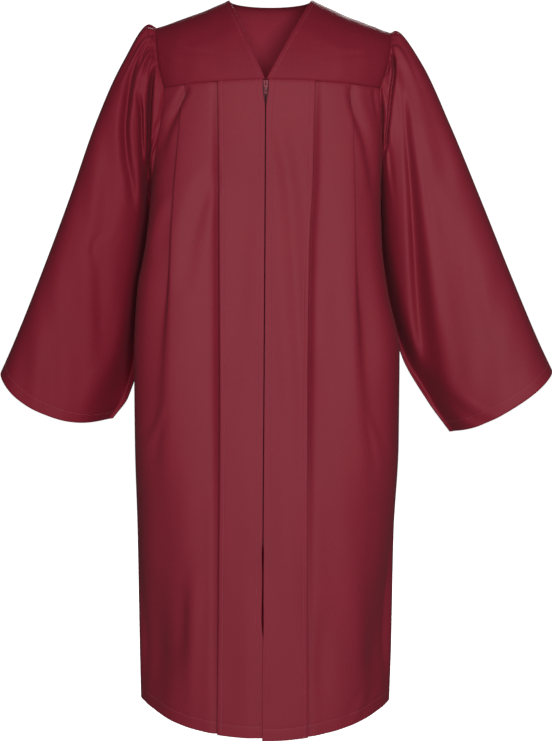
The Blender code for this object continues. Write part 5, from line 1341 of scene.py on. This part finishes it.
stitchTree = rowTree("stitch row", thread)
stitchSizes = {"Pitch": stitches["pitch"], "Bead Length": stitches["length"], "Bead Width": stitches["width"],
               "Bead Height": stitches["width"]}
edgeSizes = {**stitchSizes, "Bead Width": stitches["edgeWidth"], "Bead Height": stitches["edgeWidth"]}
stitchRows = {
    "frontStitches": [lifted(made["front", s][1][k]) for s in (-1, 1) for k in ("zipStitch", "pleatStitch")],
    "hemStitches": [lifted(made["front", s][1]["hemStitch"]) for s in (-1, 1)] + [lifted(made["back", 0][1]["hemStitch"])],
    "cuffStitches": [lifted(made["sleeve", s][1]["cuffStitch"]) for s in (-1, 1)],
    "neckStitches": [lifted(made["yoke", s][1]["neckStitch"]) for s in (-1, 0, 1)],
}
sewing = [beadRow(name, lines, stitchTree, stitchSizes if name == "frontStitches" else edgeSizes)
          for name, lines in stitchRows.items()]

toothTree = rowTree("zip teeth", teeth)
toothLines = []
for side in (-1, 1):
    low = -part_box("zip_slider")[0].z
    drop = np.arange(low + (0.5 if side > 0 else 0) * zipTeeth["pitch"], zipLine["stop"], 10 * mm)
    x = zipX(drop) + side * zipTeeth["offset"]
    toothLines.append(bodyPoint(angleAtX(x, drop), drop, zipTeeth["inward"]))
toothRow = beadRow("zipTeeth", toothLines, toothTree, {
    "Pitch": zipTeeth["pitch"], "Bead Length": zipTeeth["length"], "Bead Width": zipTeeth["width"],
    "Bead Height": zipTeeth["width"]})

# bodies, replaced solids and the solids' materials

for side, word in ((-1, "left"), (1, "right")):
    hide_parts("front_" + word)
    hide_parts("yoke_front_" + word)
    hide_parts("sleeve_" + word)
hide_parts("yoke_back")
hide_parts("back_panel")
for piece in [entry[0] for entry in made.values()] + sewing:
    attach(piece, "gown")
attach(toothRow, "gown")
for name, finish in (("zip_tape_left", tapeWeave), ("zip_tape_right", tapeWeave), ("zip_slider", metal),
                     ("zip_pull", metal), ("zip_bottom_stop", metal)):
    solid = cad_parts[name]
    solid.data.materials.clear()
    solid.data.materials.append(finish)
print("gown: pieces ride on their bodies")

# stage, light and camera

studio = dict(
    floorDrop=1.50,
    floorColour=(0.93, 0.93, 0.93),
    floorGlow=0.9,
    wallBehind=14.0,
    halfWidth=14.0,
    wallHeight=8.0,
    sweep=1.2,
    keyPower=51,
    keySize=0.7,
    keyPlace=(0.60, -3.4, -0.10),
    fillPower=38,
    fillPlace=(-0.20, -3.4, 0.10),
    backPower=75,               # lights the hidden side only
    backPlace=(0.40, 3.2, 1.50),
    ambientBelow=0.36,
    ambientAbove=0.10,
)
camera = dict(
    distance=3.2,
    elevation=4.0,
    aim=(0.00966, 0.0, -0.6417),
    frameWidth=552 * 0.001757,  # what the photo's width covers at the gown's middle
    sensor=36.0,
)


def makeStage():
    s = studio
    material, tree, shader = nodeTree("studio paper")
    place = add(tree, "ShaderNodeTexCoord").outputs["Object"]
    grain = add(tree, "ShaderNodeTexNoise", {"Vector": place, "Scale": 60.0, "Detail": 2.0})
    shade = add(tree, "ShaderNodeMapRange", {"Value": grain.outputs["Fac"], "To Min": 0.985, "To Max": 1.015})
    tint = add(tree, "ShaderNodeVectorMath", {0: s["floorColour"], "Scale": shade.outputs[0]}, operation="SCALE")
    tree.links.new(tint.outputs["Vector"], shader.inputs["Base Color"])
    shader.inputs["Roughness"].default_value = 0.9
    shader.inputs["Emission Color"].default_value = (1, 1, 1, 1)
    shader.inputs["Emission Strength"].default_value = s["floorGlow"]
    profile = [(-s["halfWidth"], 0.0), (s["wallBehind"] - s["sweep"], 0.0)]
    for i in range(1, 17):
        turn = i / 16 * math.pi / 2
        profile.append((s["wallBehind"] - s["sweep"] + s["sweep"] * math.sin(turn), s["sweep"] * (1 - math.cos(turn))))
    profile.append((s["wallBehind"], s["wallHeight"]))
    points = [(x, y, z - s["floorDrop"]) for y, z in profile for x in (-s["halfWidth"], s["halfWidth"])]
    faces = [(2 * i, 2 * i + 1, 2 * i + 3, 2 * i + 2) for i in range(len(profile) - 1)]
    mesh = bpy.data.meshes.new("studioPaper")
    mesh.from_pydata(points, [], faces)
    mesh.shade_smooth()
    mesh.materials.append(material)
    paper = bpy.data.objects.new("studioPaper", mesh)
    bpy.context.scene.collection.objects.link(paper)
    paper.visible_diffuse = False       # the paper is background only and puts no light on the cloth
    paper.visible_glossy = False


def areaLight(name, place, size, power, target=(0.0, 0.0, -0.6)):
    data = bpy.data.lights.new(name, "AREA")
    data.shape = "DISK"
    data.size = size
    data.energy = power
    lamp = bpy.data.objects.new(name, data)
    lamp.location = place
    lamp.rotation_euler = (Vector(target) - Vector(place)).to_track_quat("-Z", "Y").to_euler()
    bpy.context.scene.collection.objects.link(lamp)


def makeLights():
    s = studio
    areaLight("keyLight", s["keyPlace"], s["keySize"], s["keyPower"])
    areaLight("fillLight", s["fillPlace"], 0.8, s["fillPower"])
    areaLight("backLight", s["backPlace"], 0.8, s["backPower"])
    world = bpy.data.worlds.new("studioAir")
    world.use_nodes = True
    tree = world.node_tree
    place = add(tree, "ShaderNodeTexCoord").outputs["Generated"]
    split = add(tree, "ShaderNodeSeparateXYZ", {0: place})
    strength = add(tree, "ShaderNodeMapRange", {"Value": split.outputs["Z"], "From Min": -0.7, "From Max": 0.7,
                                                "To Min": s["ambientBelow"], "To Max": s["ambientAbove"]})
    tree.nodes["Background"].inputs["Color"].default_value = (1, 1, 1, 1)
    tree.links.new(strength.outputs[0], tree.nodes["Background"].inputs["Strength"])
    world.cycles_visibility.glossy = False      # soft air light without a white gloss
    bpy.context.scene.world = world


def makeCamera():
    c = camera
    lean = math.radians(c["elevation"])
    aim = Vector(c["aim"])
    data = bpy.data.cameras.new("photoCamera")
    data.sensor_width = c["sensor"]
    data.sensor_fit = "HORIZONTAL"
    data.lens = c["sensor"] * c["distance"] / c["frameWidth"]
    holder = bpy.data.objects.new("photoCamera", data)
    holder.location = aim + Vector((0, -math.cos(lean), math.sin(lean))) * c["distance"]
    holder.rotation_euler = (aim - holder.location).to_track_quat("-Z", "Y").to_euler()
    bpy.context.scene.collection.objects.link(holder)
    bpy.context.scene.camera = holder


makeStage()
makeLights()
makeCamera()
bpy.context.scene.view_settings.view_transform = "Standard"
print("gown: stage, lights and camera made")
